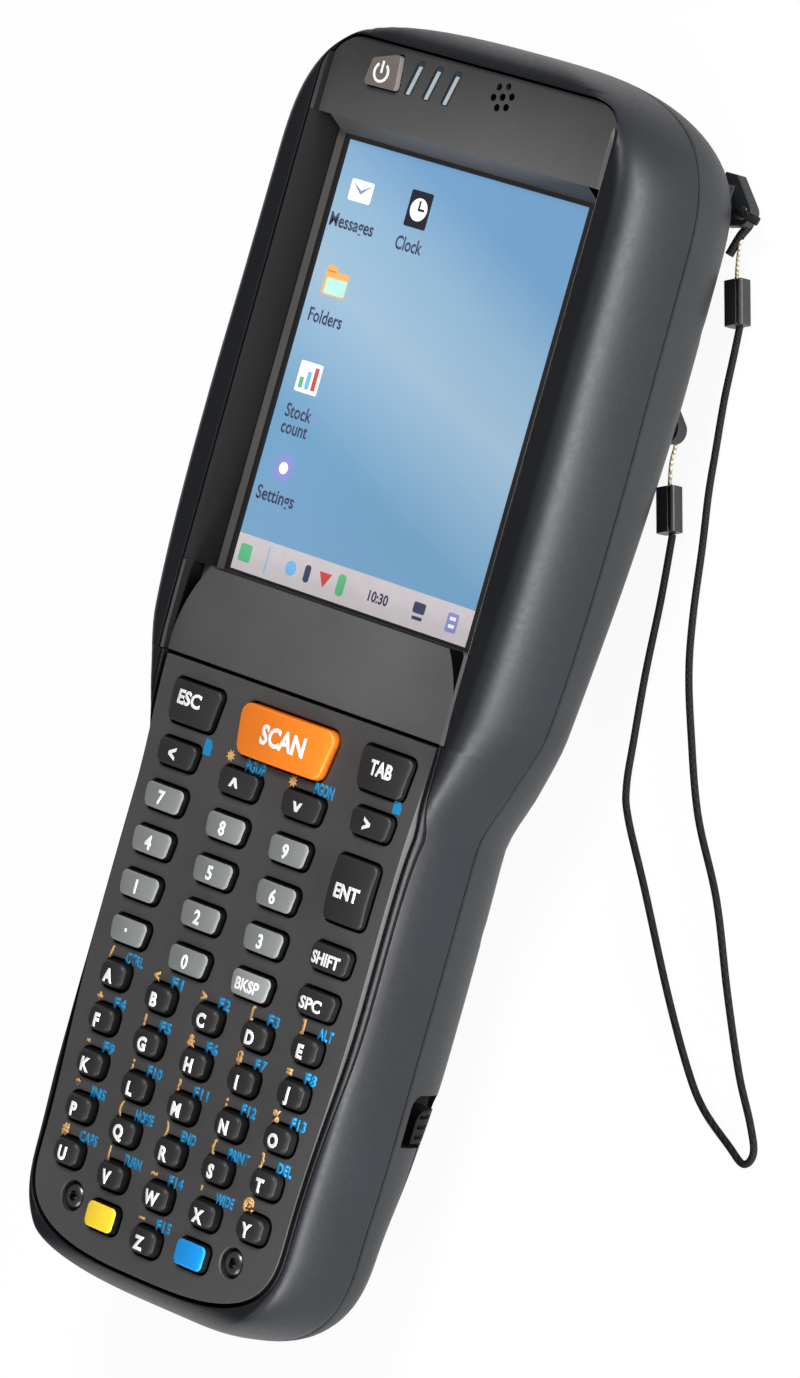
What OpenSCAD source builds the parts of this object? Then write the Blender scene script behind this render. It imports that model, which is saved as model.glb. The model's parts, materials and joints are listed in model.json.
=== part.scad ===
// Portable barcode data terminal, lying on its back: screen up +Z, head towards +Y.
// The origin is on the resting plane, under the middle of the body.

/* [Body] */
// Length of the body from the base to the head
body_l = 190.6; // [186:0.2:200]
// Height of the shell rim around the keypad above the resting plane
rim_z = 31.6; // [31.4:0.1:33]
// Extra height of the rim around the display
head_rise = 0.6; // [0.3:0.1:1]
// Height of the parting plane between the two shells
seam_z = 18.5; // [18:0.1:19]
// Half width of the head at its widest place
head_half = 37.4; // [36.8:0.1:40]
// How much narrower each side of the head is at its end
head_taper = 0.6; // [0:0.1:1]
// Half width of the waist just below the head
waist_half = 29.2; // [28.9:0.1:31]
// Half width of the grip
grip_half = 29.3; // [29.1:0.1:33]
// Half width at the base
base_half = 28.8; // [28.4:0.1:31]
// Width of the rounded front edge at the head
head_edge = 4.7; // [4.2:0.1:6.5]
// Width of the rounded front edge at the grip
grip_edge = 2.9; // [2.6:0.1:3.4]
// Width of the rounded back corner of the head
head_back = 17.5; // [16:0.5:18.5]
// Width of the rounded back corner of the grip
grip_back = 22; // [20:0.5:22.5]
// How far the back rises above the resting plane at the shoulder
shoulder_rise = 4.6; // [3.6:0.1:5]
// How far the back rises at the base end
base_rise = 5; // [4:0.5:6.5]
// Wall of the shells
wall = 2.4; // [2:0.1:3]

/* [Display] */
// Distance from the end of the head to the upper edge of the display bezel
head_margin = 4.5; // [4.2:0.1:6]
// Height of the front face of the touch window
disp_z = 27.5; // [27:0.1:27.8]
// Width of the lit area
lcd_w = 48.6; // [46:0.1:50]
// Height of the lit area
lcd_h = 64.8; // [62:0.1:65]
// Half width of the well around the window, at its foot
well_half = 27.2; // [27:0.1:28]
// Half width of the display bezel
bezel_half = 29.4; // [29:0.1:30]
// Distance from the display centre to the foot of the head panel
well_top = 35.2; // [35:0.1:36]
// Distance from the display centre to the top of the name band
well_foot = 33; // [32.8:0.1:33.4]
// Height of the head panel and of the band above the window
panel_rise = 3.5; // [3:0.1:3.8]
// Length of the head panel
panel_l = 12; // [11:0.5:12.5]
// Thickness of the touch window
glass_t = 1.2; // [1:0.1:1.4]

/* [Keypad] */
// Length of the band between the window and the keypad plate
band_l = 13.6; // [13:0.1:14]
// Distance from the foot of the plate to the base end of the body
base_margin = 4.9; // [4.6:0.1:6]
// Half width of the plate at its upper edge
plate_half = 28.1; // [27.9:0.1:28.3]
// Half width of the plate at the grip
plate_grip = 27.1; // [26.8:0.1:27.3]
// Half width of the plate near its foot
plate_base = 25.8; // [25.5:0.1:26]
// Thickness of the plate
plate_t = 2; // [1.8:0.1:2.2]
// Distance from the upper edge of the plate to the middle of the first key row
top_margin = 7.2; // [7:0.1:7.4]
// Distance from the middle of the last key to the foot of the plate
foot_margin = 5.6; // [5.4:0.1:6]
// Distance from the function row to the arrow row
first_gap = 7.6; // [7.4:0.1:7.8]
// Bare plate between a digit key and the key in the next row
digit_gap = 2.9; // [2.7:0.1:3.1]
// Bare plate between a letter key and the key in the next row
letter_gap = 2.7; // [2.5:0.1:2.9]
// How far the ends of a row rise above its middle
row_smile = 1.1; // [0:0.1:1.5]
// Half distance between the inner columns
col_in = 6.6; // [6.5:0.1:7]
// Distance of the outer columns
col_out = 20; // [19.8:0.1:20.2]
// Distance between letter keys in the first letter row
letter_pitch = 10.1; // [10:0.05:10.2]
// How much the letter pitch shrinks from row to row
letter_shrink = 0.09; // [0:0.01:0.12]
// Width of a digit key
digit_w = 8.2; // [7.6:0.1:8.6]
// Width of a letter key
letter_w = 5.6; // [5:0.1:6]
// How far a digit key stands above the plate
key_rise = 1.3; // [0.9:0.1:1.5]
// How far a letter key stands above the plate
dome_rise = 1.7; // [1.2:0.1:1.9]
// Travel of a key
travel = 0.6; // [0.4:0.05:0.65]
// Gap between a key and its hole
key_gap = 0.25; // [0.2:0.05:0.3]
// Width of the flange that holds a key under the plate
flange = 0.55; // [0.4:0.05:0.6]
// Thickness of that flange
flange_t = 0.7; // [0.6:0.05:0.8]

/* [Battery and latch] */
// Distance from the upper edge of the keypad plate to the upper end of the battery pack
pack_gap = 9.8; // [8:0.1:12]
// Half width of the narrow part of the pack
pack_half = 18; // [17:0.5:19]
// Length of the foot of the pack, which has the full width of the body
foot_l = 35; // [33:0.5:36]
// Height of the side seam of the pack
pack_seam = 11.2; // [10:0.1:11.6]
// Height of the pack inside the shell
pack_z = 13.6; // [13:0.1:14]
// Length of the latch notch
notch_l = 7.6; // [7:0.2:9]
// Travel of the latch
latch_travel = 2; // [1:0.5:2.5]
// Clearance around the pack and the latch
slip = 0.3; // [0.2:0.05:0.4]

/* [Tether] */
// Diameter of the tether cord
cord_d = 1.1; // [1:0.1:1.2]
// Diameter of the thin loops
loop_d = 0.6; // [0.5:0.1:0.7]
// Length of a cord clip
clip_l = 6.7; // [6:0.1:7]
// Width of a cord clip
clip_w = 3.4; // [3:0.1:3.6]
// Height of a cord clip
clip_h = 2.6; // [2.2:0.1:2.8]

/* [Hidden] */
$fn = 48;
eps = 0.01;

// ---- places along the body, counted from its two ends ----
end_y = body_l / 2;
bezel_top = end_y - head_margin;
disp_y = bezel_top - panel_l - well_top;
plate_top = disp_y - well_foot - band_l;
plate_low = base_margin - end_y;
row_y = plate_top - top_margin;
last_row = 11;
row_pitch = (row_y - first_gap - plate_low - foot_margin) / (last_row - 1);
digit_l = row_pitch - digit_gap;
letter_l = row_pitch - letter_gap;
pack_top = plate_top - pack_gap;
flare_y = foot_l - end_y;

// ---- heights, stacked from the front down ----
plate_z = rim_z;
ledge_z = plate_z - plate_t;
flange_z = ledge_z;
membrane_z = flange_z - flange_t - travel - 0.15;
membrane_t = 1.2;
kboard_t = 1.4;
kboard_z = membrane_z - membrane_t;
skin_z = 28.3;
panel_z = disp_z + panel_rise;
head_z = rim_z + head_rise;
gasket_t = 0.5;
module_t = 3.6;
glass_z = disp_z - glass_t;
module_z = glass_z - gasket_t;
board_z = 14.6;
board_t = 1.6;
seat = 0.15;

// ---- outline of the body ----
crown_y = disp_y + 12;
chest_y = disp_y - 8;
shoulder_y = plate_top + 5.4;
neck_y = plate_top - 3.7;
waist_y = plate_top - 14.2;
grip_y = plate_top - 37.8;
heel_y = 32.5 - end_y;
rest_y = grip_y - 0.35 * (grip_y - heel_y);
base_y = 16.9 - end_y;
neck_half = (waist_half + head_half) / 2 - 0.5;
neck_edge = (grip_edge + head_edge) / 2 - 0.2;
heel_rise = 0.4 * base_rise;
neck_back = (grip_back + head_back) / 2;
// place, half width, front edge, rise of the back, back corner
BODY = [
  [-end_y, base_half, grip_edge, base_rise + 0.5, grip_back],
  [base_y, base_half, grip_edge, base_rise, grip_back],
  [heel_y, grip_half, grip_edge, heel_rise, grip_back],
  [rest_y, grip_half, grip_edge, 0, grip_back],
  [grip_y, grip_half, grip_edge, 0, grip_back],
  [waist_y, waist_half, grip_edge, shoulder_rise / 8, grip_back],
  [neck_y, neck_half, neck_edge, 0.4 * shoulder_rise, neck_back],
  [shoulder_y, head_half - 1.3, head_edge, shoulder_rise, head_back],
  [chest_y, head_half, head_edge, shoulder_rise / 3, head_back],
  [crown_y, head_half - head_taper / 2, head_edge, 0, head_back],
  [end_y, head_half - head_taper, head_edge, 0, head_back]];
// half widths of the keypad plate
PLATE = [[-end_y, plate_base], [plate_low + 14.6, plate_base], [plate_low + 41.6, plate_grip],
  [plate_top - 17.8, plate_grip + 0.1], [plate_top, plate_half], [plate_top + 3, plate_half]];

function slope(T, k, j) =
  j <= 0 || j >= len(T) - 1 ? 0 :
  (T[j + 1][k] - T[j][k]) * (T[j][k] - T[j - 1][k]) <= 0 ? 0 :
  (T[j + 1][k] - T[j - 1][k]) / (T[j + 1][0] - T[j - 1][0]);
function span(T, y, j = 0) = j >= len(T) - 2 || y < T[j + 1][0] ? j : span(T, y, j + 1);
function ease(T, k, y) =
  let (j = span(T, y), h = T[j + 1][0] - T[j][0], t = min(max((y - T[j][0]) / h, 0), 1))
  (2 * t * t * t - 3 * t * t + 1) * T[j][k] + (t * t * t - 2 * t * t + t) * slope(T, k, j) * h
  + (3 * t * t - 2 * t * t * t) * T[j + 1][k] + (t * t * t - t * t) * slope(T, k, j + 1) * h;
// falls from 1 to 0 along a rounded end
function fall(u, n) = pow(max(1 - pow(min(max(u, 0), 1), n), 0), 1 / n);
// lengths of the rounded ends, in plan, at the front and at the back
plan_top = 25;
plan_foot = 18.5;
front_top = 5;
front_foot = 6;
back_top = 15.5;
back_foot = 18;
// how square those ends are: 2 is an ellipse
plan_top_n = 3.2;
plan_foot_n = 2.8;
front_top_n = 2.8;
front_foot_n = 1.8;
back_top_n = 1.9;
back_foot_n = 2.5;
function ends(y, top, foot, nt, nf) =
  fall((y - end_y + top) / top, nt) * fall((foot - end_y - y) / foot, nf);
function half_w(y) = ease(BODY, 1, y) * ends(y, plan_top, plan_foot, plan_top_n, plan_foot_n);
function front_ends(y) = ends(y, front_top, front_foot, front_top_n, front_foot_n);
function front_h(y) =
  (rim_z - seam_z + head_rise * smooth(y, plate_top - 9, plate_top + 7)) * front_ends(y);
function back_h(y) =
  (seam_z - ease(BODY, 3, y)) * ends(y, back_top, back_foot, back_top_n, back_foot_n);
function smooth(y, a, b) = let (t = min(max((y - a) / (b - a), 0), 1)) t * t * (3 - 2 * t);
function front_edge(y) =
  min(ease(BODY, 2, y) + 5.6 * (1 - front_ends(y)), 0.9 * half_w(y));
function back_edge(y) = min(ease(BODY, 4, y), 0.9 * half_w(y));
function plate_w(y) = ease(PLATE, 1, y) * fall((plate_foot + plate_low - y) / plate_foot, 3);
plate_foot = 13;

// places of the cross-sections, closer together at the rounded ends
end_steps = 9;
mid_steps = 24;
tip = 0.15;
end_zone = 20;
SECTIONS = concat(
  [for (i = [0 : end_steps]) -end_y + tip + end_zone * (1 - cos(90 * i / end_steps))],
  [for (i = [1 : mid_steps - 1])
    -end_y + end_zone + tip + (body_l - 2 * end_zone - 2 * tip) * i / mid_steps],
  [for (i = [end_steps : -1 : 0]) end_y - tip - end_zone * (1 - cos(90 * i / end_steps))]);
arc_steps = 8;
// the front half of a section, from right to left
function front_arc(y, grow = 0) = let (w = half_w(y) - grow, e = front_edge(y), h = front_h(y) - grow)
  [for (i = [0 : arc_steps]) [w - e + e * cos(90 * i / arc_steps), seam_z + h * sin(90 * i / arc_steps)]];
function back_arc(y) = let (w = half_w(y), e = back_edge(y), h = back_h(y))
  [for (i = [0 : arc_steps]) [w - e + e * cos(90 * i / arc_steps), seam_z - h * sin(90 * i / arc_steps)]];
function both(arc) = concat(arc, [for (i = [len(arc) - 1 : -1 : 0]) [-arc[i][0], arc[i][1]]]);
function front_ring(y) = [for (p = both(front_arc(y))) [p[0], y, p[1]]];
function back_ring(y) = [for (p = both(back_arc(y))) [-p[0], y, p[1]]];

// one closed solid through a list of rings
module loft(rings) {
  n = len(rings[0]);
  m = len(rings);
  polyhedron(
    points = [for (r = rings) for (p = r) p],
    faces = concat(
      [[for (i = [n - 1 : -1 : 0]) i]],
      [for (k = [0 : m - 2]) for (i = [0 : n - 1])
        [k * n + (i + 1) % n, (k + 1) * n + (i + 1) % n, (k + 1) * n + i, k * n + i]],
      [[for (i = [0 : n - 1]) (m - 1) * n + i]]));
}
module front_form() { loft([for (y = SECTIONS) front_ring(y)]); }
module back_form() { loft([for (y = SECTIONS) back_ring(y)]); }
module slab(z0, z1) { translate([0, 0, z0]) linear_extrude(z1 - z0) children(); }
module block(x0, x1, y0, y1, z0, z1) {
  translate([x0, y0, z0]) cube([x1 - x0, y1 - y0, z1 - z0]);
}

// ---- plan outlines ----
module body_plan(inset) {
  right = [for (y = SECTIONS) [half_w(y) - inset, y * (end_y - inset) / (end_y - tip)]];
  polygon(concat(right, [for (i = [len(right) - 1 : -1 : 0]) [-right[i][0], right[i][1]]]));
}
module half_plan(inset, y0, y1) {
  intersection() {
    body_plan(inset);
    translate([-2 * grip_half, y0]) square([4 * grip_half, y1 - y0]);
  }
}
plate_steps = 26;
module plate_plan(grow = 0) {
  ys = [for (i = [0 : plate_steps])
    plate_low + 0.1 + (plate_top - plate_low - 0.1) * (1 - cos(90 * i / plate_steps))];
  right = [for (y = ys) [plate_w(y), y]];
  offset(delta = grow)
    polygon(concat(right, [for (i = [plate_steps : -1 : 0]) [-right[i][0], right[i][1]]]));
}
bezel_foot = plate_top + 0.3;
corner_r = 6;
module bezel_plan(grow = 0) {
  offset(delta = grow) union() {
    translate([-bezel_half, bezel_foot])
      square([2 * bezel_half, bezel_top - corner_r - bezel_foot]);
    translate([-bezel_half + corner_r, bezel_foot])
      square([2 * (bezel_half - corner_r), bezel_top - bezel_foot]);
    for (s = [-1, 1]) translate([s * (bezel_half - corner_r), bezel_top - corner_r]) circle(corner_r);
  }
}

// ---- screws and bosses ----
screw_d = 2.2;
screw_head = 3.8;
plate_screw_x = 16.9;
plate_screw_y = plate_low + 7.5;
plate_sink = 1.1;
screw_up = 19.6;
screw_mid = 22.4;
screw_low = 25.8;
screw_up_x = 31.4;
screw_mid_x = 31;
screw_low_x = 24;
REAR_SCREWS = [[screw_up_x, disp_y + screw_up], [screw_mid_x, disp_y - screw_mid],
  [screw_low_x, plate_top - screw_low]];
boss_d = 6.4;
module at_rear_screws() {
  for (p = REAR_SCREWS) for (s = [-1, 1]) translate([s * p[0], p[1], 0]) children();
}
module at_plate_screws() {
  for (s = [-1, 1]) translate([s * plate_screw_x, plate_screw_y, 0]) children();
}
rear_sink = 14;
rear_screw_l = 11;
plate_screw_l = 8;

// ---- shells ----
inner_wall = wall + 0.8;
deck_z = module_z - 0.6;
web_y = bezel_foot - 1;
web_t = 1.5;
module front_housing() {
  color("#26282b") difference() {
    front_form();
    // room for the display under its deck
    difference() {
      slab(seam_z - eps, deck_z) half_plan(inner_wall, web_y + web_t, end_y);
      at_rear_screws() cylinder(h = deck_z + 1, d = boss_d, $fn = 24);
    }
    // room for the keypad under the plate
    difference() {
      slab(seam_z - eps, skin_z) half_plan(wall + 0.2, -end_y, web_y);
      at_rear_screws() cylinder(h = kboard_z - kboard_t - 0.1, d = boss_d, $fn = 24);
      at_plate_screws() plate_boss();
    }
    slab(seam_z - eps, seam_z + 4) half_plan(inner_wall, web_y - 1, web_y + web_t + 1);
    // keypad plate, its ledge and the opening under it
    slab(ledge_z, head_z + 1) plate_plan(seat);
    difference() {
      slab(skin_z - eps, ledge_z + eps) plate_plan(-2);
      at_plate_screws() cylinder(h = ledge_z, d = boss_d, $fn = 24);
    }
    // display bezel on its ledge, touch window in its pocket, opening for the display
    slab(disp_z, head_z + 2) bezel_plan(seat);
    block(-glass_half - seat, glass_half + seat, disp_y - glass_foot - seat,
      disp_y + glass_top + seat, glass_z, disp_z + 1);
    block(-module_w / 2 - seat, module_w / 2 + seat, disp_y - module_l / 2 - seat,
      disp_y + module_l / 2 + seat, deck_z - eps, glass_z + eps);
    at_rear_screws() cylinder(h = seam_z + 6, d = screw_d + 0.1);
    at_plate_screws() translate([0, 0, ledge_z - plate_screw_l - 0.1])
      cylinder(h = plate_screw_l + 1, d = screw_d + 0.1);
    seal_ring(seam_z - eps, seam_z + 0.5);
  }
}
module plate_boss() {
  cylinder(h = ledge_z, d = boss_d, $fn = 24);
  // foot of the boss, under the keypad board
  translate([-1, -11, 0]) cube([2, 11, kboard_z - kboard_t - 0.2]);
}
module seal_ring(z0, z1, slack = 0) {
  slab(z0, z1) difference() {
    body_plan(1.2 + slack);
    body_plan(2.1 - slack);
  }
}
hollow_y = end_y - 16;
deep_half = head_half - head_back - 1.4;
post_x = 22;
post_in = 12;
post_d = 5;
module rear_housing() {
  color("#232528") difference() {
    back_form();
    // hollow of the head, deeper in its middle
    difference() {
      union() {
        slab(9, seam_z + eps) half_plan(5, bezel_foot, end_y);
        block(-deep_half, deep_half, bezel_foot + 8, hollow_y, shoulder_rise + wall, 9 + eps);
      }
      at_rear_screws() cylinder(h = seam_z, d = boss_d, $fn = 24);
      // posts under the main board
      for (x = [-post_x, post_x]) for (y = [bezel_foot + post_in, crown_y])
        translate([x, y, 0]) cylinder(h = board_z, d = post_d, $fn = 24);
    }
    // hollow over the battery
    difference() {
      slab(pack_z + wall, seam_z + eps) half_plan(5, -end_y, bezel_foot - 3);
      at_rear_screws() cylinder(h = seam_z, d = boss_d, $fn = 24);
      block(latch_x - slip - 1.2, grip_half, flare_y - 1.5, flare_y + notch_l + 1.2, 0, seam_z + 1);
    }
    // bay of the battery pack
    block(-pack_half - slip, pack_half + slip, pack_low - slip, pack_top + slip, -1, pack_z + slip);
    block(-2 * grip_half, 2 * grip_half, -end_y - 1, flare_y + slip, -1, pack_seam + slip / 2);
    // notch of the latch
    notch_form(latch_x - slip, flare_y - eps, flare_y + notch_l, latch_low, latch_high + slip);
    // screws, sunk from the back
    at_rear_screws() translate([0, 0, -1]) cylinder(h = rear_sink - 1, d = screw_head + 0.4);
    at_rear_screws() cylinder(h = seam_z + 1, d = screw_d + 0.1);
    seal_ring(seam_z - 0.5, seam_z + eps);
    // scan window in its sloping recess, and the opening behind it
    translate([-window_w / 2 - seat, 0, 0]) rotate([90, 0, 90]) linear_extrude(window_w + 2 * seat)
      polygon([[end_y - window_set - window_lean - window_t - 0.1, window_low - seat],
        [end_y + 1, window_low - seat], [end_y + 1, window_high + seat],
        [end_y - window_set - window_t, window_high + seat]]);
    block(-window_w / 2 + 2, window_w / 2 - 2, hollow_y - eps, end_y - 1, window_low + 1.2, window_high - 1);
    // dock connector at the base
    block(-dock_w / 2 - seat, dock_w / 2 + seat, -end_y - 1, dock_y + dock_l, dock_z, dock_z + dock_h + seat);
    // battery contacts in the tray over the pack
    block(-contact_w / 2 - seat, contact_w / 2 + seat, contact_y - seat, contact_y + contact_l + seat,
      pack_z, pack_z + wall + 1);
    // sockets of the two cord anchors
    translate([anchor_x, anchor_y, 0]) anchor_socket();
    translate([anchor2_x, anchor2_y, 0]) anchor_socket();
  }
}
module housing_seal() { color("#101010") seal_ring(seam_z - 0.5, seam_z + 0.5, 0.05); }

// ---- display ----
glass_half = bezel_half - 1;
glass_top = well_top + 1.4;
glass_foot = well_foot + 1.4;
well_lean = bezel_half - well_half;
pocket_y = disp_y - well_foot;
module display_bezel() {
  color("#3a3b3c") difference() {
    intersection() {
      slab(disp_z, head_z + 1) bezel_plan();
      front_form();
    }
    // the well over the window, with leaning side walls
    for (s = [-1, 1]) mirror([s < 0 ? 1 : 0, 0, 0]) well_side();
    well_room();
    // head panel and band lie lower than the rim
    block(-bezel_half + 0.7, bezel_half - 0.7, disp_y + well_top - eps, bezel_top + 1, panel_z, head_z + 1);
    block(-bezel_half + 0.7, bezel_half - 0.7, bezel_foot - 1, pocket_y + eps, panel_z, head_z + 1);
    // pockets beside the band
    for (s = [-1, 1]) mirror([s < 0 ? 1 : 0, 0, 0]) band_pocket();
    // power key, light bars and speaker holes
    slab(disp_z, head_z + 1) offset(delta = key_gap) power_plan();
    at_lights() linear_extrude(head_z + 1) offset(delta = 0.05) light_plan();
    at_speaker_holes() cylinder(h = head_z + 1, d = 1.1, $fn = 24);
    translate([power_x, panel_mid, disp_z - 1])
      cylinder(h = power_bed - disp_z + 1, d = power_flange_d + 0.4);
    translate([speaker_x, panel_mid + 1, disp_z - 1]) cylinder(h = 3, d = speaker_d + 2 * seat);
    lights_base(0.1);
  }
}
// room over the window, with an upper wall that leans outwards
top_lean = 2.1;
module well_room() {
  translate([-well_half, 0, 0]) rotate([90, 0, 90]) linear_extrude(2 * well_half)
    polygon([[pocket_y, disp_z - 1], [disp_y + well_top - top_lean, disp_z - 1],
      [disp_y + well_top - top_lean, disp_z], [disp_y + well_top, panel_z],
      [disp_y + well_top, head_z + 1], [pocket_y, head_z + 1]]);
}
// wedge cut that leans outwards from the foot of the well to the rim
module well_side() {
  translate([0, disp_y + well_top, 0]) rotate([90, 0, 0])
    linear_extrude(well_top + well_foot)
      polygon([[well_half - 1, disp_z], [well_half, disp_z], [bezel_half + eps, head_z + eps],
        [bezel_half + eps, head_z + 1], [well_half - 1, head_z + 1]]);
}
// curved cut at each end of the band, down to the foot of the well
pocket_r = 21;
module band_pocket() {
  slab(disp_z + 0.6, head_z + 1) intersection() {
    translate([well_half - 4, bezel_foot + 0.8]) square([well_lean + 3.4, pocket_y - bezel_foot - 0.8 + eps]);
    difference() {
      translate([well_half - 4, bezel_foot]) square([well_lean + 4, pocket_y - bezel_foot + 1]);
      translate([bezel_half - 0.6 - pocket_r, bezel_foot + 0.8]) circle(pocket_r, $fn = 96);
    }
  }
}
module touch_window() {
  color("#8fb4d8")
    block(-glass_half, glass_half, disp_y - glass_foot, disp_y + glass_top, glass_z, disp_z);
}
module_w = lcd_w + 4.8;
module_l = lcd_h + 3.6;
module display_gasket() {
  color("#1a1a1a") difference() {
    block(-module_w / 2, module_w / 2, disp_y - module_l / 2, disp_y + module_l / 2, module_z, glass_z);
    block(-lcd_w / 2 - 0.5, lcd_w / 2 + 0.5, disp_y - lcd_h / 2 - 0.5, disp_y + lcd_h / 2 + 0.5,
      module_z - 1, glass_z + 1);
  }
}
module display_module() {
  color("#b8bcc0") difference() {
    block(-module_w / 2, module_w / 2, disp_y - module_l / 2, disp_y + module_l / 2,
      module_z - module_t, module_z);
    block(-lcd_w / 2 - 1, lcd_w / 2 + 1, disp_y - lcd_h / 2 - 0.6, disp_y + lcd_h / 2 + 0.6,
      module_z - 0.3, module_z + 1);
  }
}

// ---- head panel ----
panel_mid = disp_y + well_top + 7.9;
speaker_d = 2 * (bezel_top - panel_mid - 1) - 0.9;
power_x = -17.6;
speaker_x = 5.7;
light_w = 1.5;
light_l = 5.2;
light_lean = 1.4;
LIGHTS = [-11.8, -8.1, -4.3];
power_bed = disp_z + 2.1;
power_flange_d = 7.4;
module power_plan() {
  offset(r = 0.6, $fn = 20) offset(delta = -0.6)
    translate([power_x, panel_mid]) polygon([[-3.1, -2.4], [3.3, -2.3], [2.7, 3], [-2.5, 1.6]]);
}
module light_plan() {
  offset(r = 0.4, $fn = 20) offset(delta = -0.4)
    polygon([[-light_lean / 2 - light_w / 2, -light_l / 2], [-light_lean / 2 + light_w / 2, -light_l / 2],
      [light_lean / 2 + light_w / 2, light_l / 2], [light_lean / 2 - light_w / 2, light_l / 2]]);
}
module at_lights() { for (x = LIGHTS) translate([x, panel_mid + 0.2, 0]) children(); }
module at_speaker_holes() {
  translate([speaker_x, panel_mid + 1, 0]) {
    children();
    for (a = [0 : 60 : 300]) rotate(a + 12) translate([1.75, 0, 0]) children();
  }
}
module lights_base(slack = 0) {
  block(LIGHTS[0] - 1.6 - slack, LIGHTS[2] + 1.6 + slack, panel_mid - 2.6 - slack, panel_mid + 3 + slack,
    disp_z - slack, disp_z + 0.9 + slack);
}
module light_pipes() {
  color("#6f7d8a") {
    at_lights() translate([0, 0, disp_z + 0.5]) linear_extrude(panel_rise - 0.6) light_plan();
    lights_base();
  }
}
module speaker() {
  color("#2f2f33") difference() {
    translate([speaker_x, panel_mid + 1, disp_z]) cylinder(h = 1.8, d = speaker_d);
    translate([speaker_x, panel_mid + 1, disp_z + 1.2]) cylinder(h = 1, d = speaker_d - 1);
  }
}

// ---- keypad ----
module keypad_bezel() {
  color("#3f4042") difference() {
    slab(ledge_z, plate_z) plate_plan();
    key_holes();
    at_plate_screws() translate([0, 0, plate_z - plate_sink]) cylinder(h = 3, d = screw_head + 0.8);
    at_plate_screws() cylinder(h = plate_z, d = screw_d + 0.1);
  }
}
function row(i) = i == 0 ? row_y : row_y - first_gap - (i - 1) * row_pitch;
function smile(x) = row_smile * pow(x / col_out, 2);
function spot(i, x) = [x, row(i) + smile(x)];
function letter_x(i, k) = (k - 2) * (letter_pitch - letter_shrink * i);
// rounded key outline, wider at its upper edge
module key_plan(w, l, lean, r, grow = 0) {
  offset(r = r + grow, $fn = 20) offset(delta = -r)
    polygon([[-w / 2 + lean, -l / 2], [w / 2 - lean, -l / 2], [w / 2, l / 2], [-w / 2, l / 2]]);
}
digit_lean = 0.5;
key_r = 0.7;
scan_w = 20;
scan_l = 7.6;
scan_lean = 1.4;
scan_y = row_y + 0.5;
big_w = 10.4;
big_l = 6.2;
big_lean = 0.7;
enter_w = 8.4;
enter_l = row_pitch + digit_l - 0.9;
shift_w = 7.9;
colour_w = 6.1;
colour_l = digit_l + 0.1;
colour_x = 9.5;
colour_y = row(last_row) + 0.8;
letter_r = min(1.4, 0.35 * letter_l);
scan_crown = 60;
// place, width, length and lean of each single key
KEYS = [
  ["escape_key", spot(0, -col_out + 0.6), big_w, big_l, big_lean],
  ["tab_key", spot(0, col_out), big_w, big_l, big_lean],
  ["scan_key", [0, scan_y], scan_w, scan_l, scan_lean],
  ["left_key", spot(1, -col_out), digit_w, digit_l, digit_lean],
  ["up_key", spot(1, -col_in), digit_w, digit_l, digit_lean],
  ["down_key", spot(1, col_in), digit_w, digit_l, digit_lean],
  ["right_key", spot(1, col_out + 0.4), digit_w, digit_l, digit_lean],
  ["key_7", spot(2, -col_out), digit_w, digit_l, digit_lean],
  ["key_8", spot(2, -col_in), digit_w, digit_l, digit_lean],
  ["key_9", spot(2, col_in), digit_w, digit_l, digit_lean],
  ["key_4", spot(3, -col_out), digit_w, digit_l, digit_lean],
  ["key_5", spot(3, -col_in), digit_w, digit_l, digit_lean],
  ["key_6", spot(3, col_in), digit_w, digit_l, digit_lean],
  ["enter_key", spot(2.5, col_out), enter_w, enter_l, 0.2],
  ["key_1", spot(4, -col_out), digit_w, digit_l, digit_lean],
  ["key_2", spot(4, -col_in), digit_w, digit_l, digit_lean],
  ["key_3", spot(4, col_in), digit_w, digit_l, digit_lean],
  ["shift_key", spot(4, col_out), shift_w, digit_l, 0.3],
  ["point_key", spot(5, -col_out + 0.4), digit_w - 0.6, digit_l, digit_lean],
  ["key_0", spot(5, -col_in), digit_w, digit_l, digit_lean],
  ["backspace_key", spot(5, col_in), digit_w, digit_l, digit_lean],
  ["space_key", spot(5, col_out - 0.3), shift_w, digit_l, 0.5],
  ["yellow_key", [-colour_x, colour_y], colour_w, colour_l, 0.1],
  ["blue_key", [colour_x, colour_y], colour_w, colour_l, 0.1]];
LETTER_ROWS = 5;
module key_holes() {
  for (k = KEYS) translate([k[1][0], k[1][1], 0]) linear_extrude(plate_z + 1)
    key_plan(k[2], k[3], k[4], key_r, key_gap);
  for (i = [0 : LETTER_ROWS - 1]) for (c = [0 : 4]) letter_at(i, c) letter_hole();
  letter_at(LETTER_ROWS, 2) letter_hole();
}
module letter_at(i, c) {
  p = spot(6 + i, letter_x(i, c));
  translate([p[0], p[1], 0]) children();
}
module letter_hole() { linear_extrude(plate_z + 1) key_plan(letter_w, letter_l, 0.1, letter_r, key_gap); }
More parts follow.
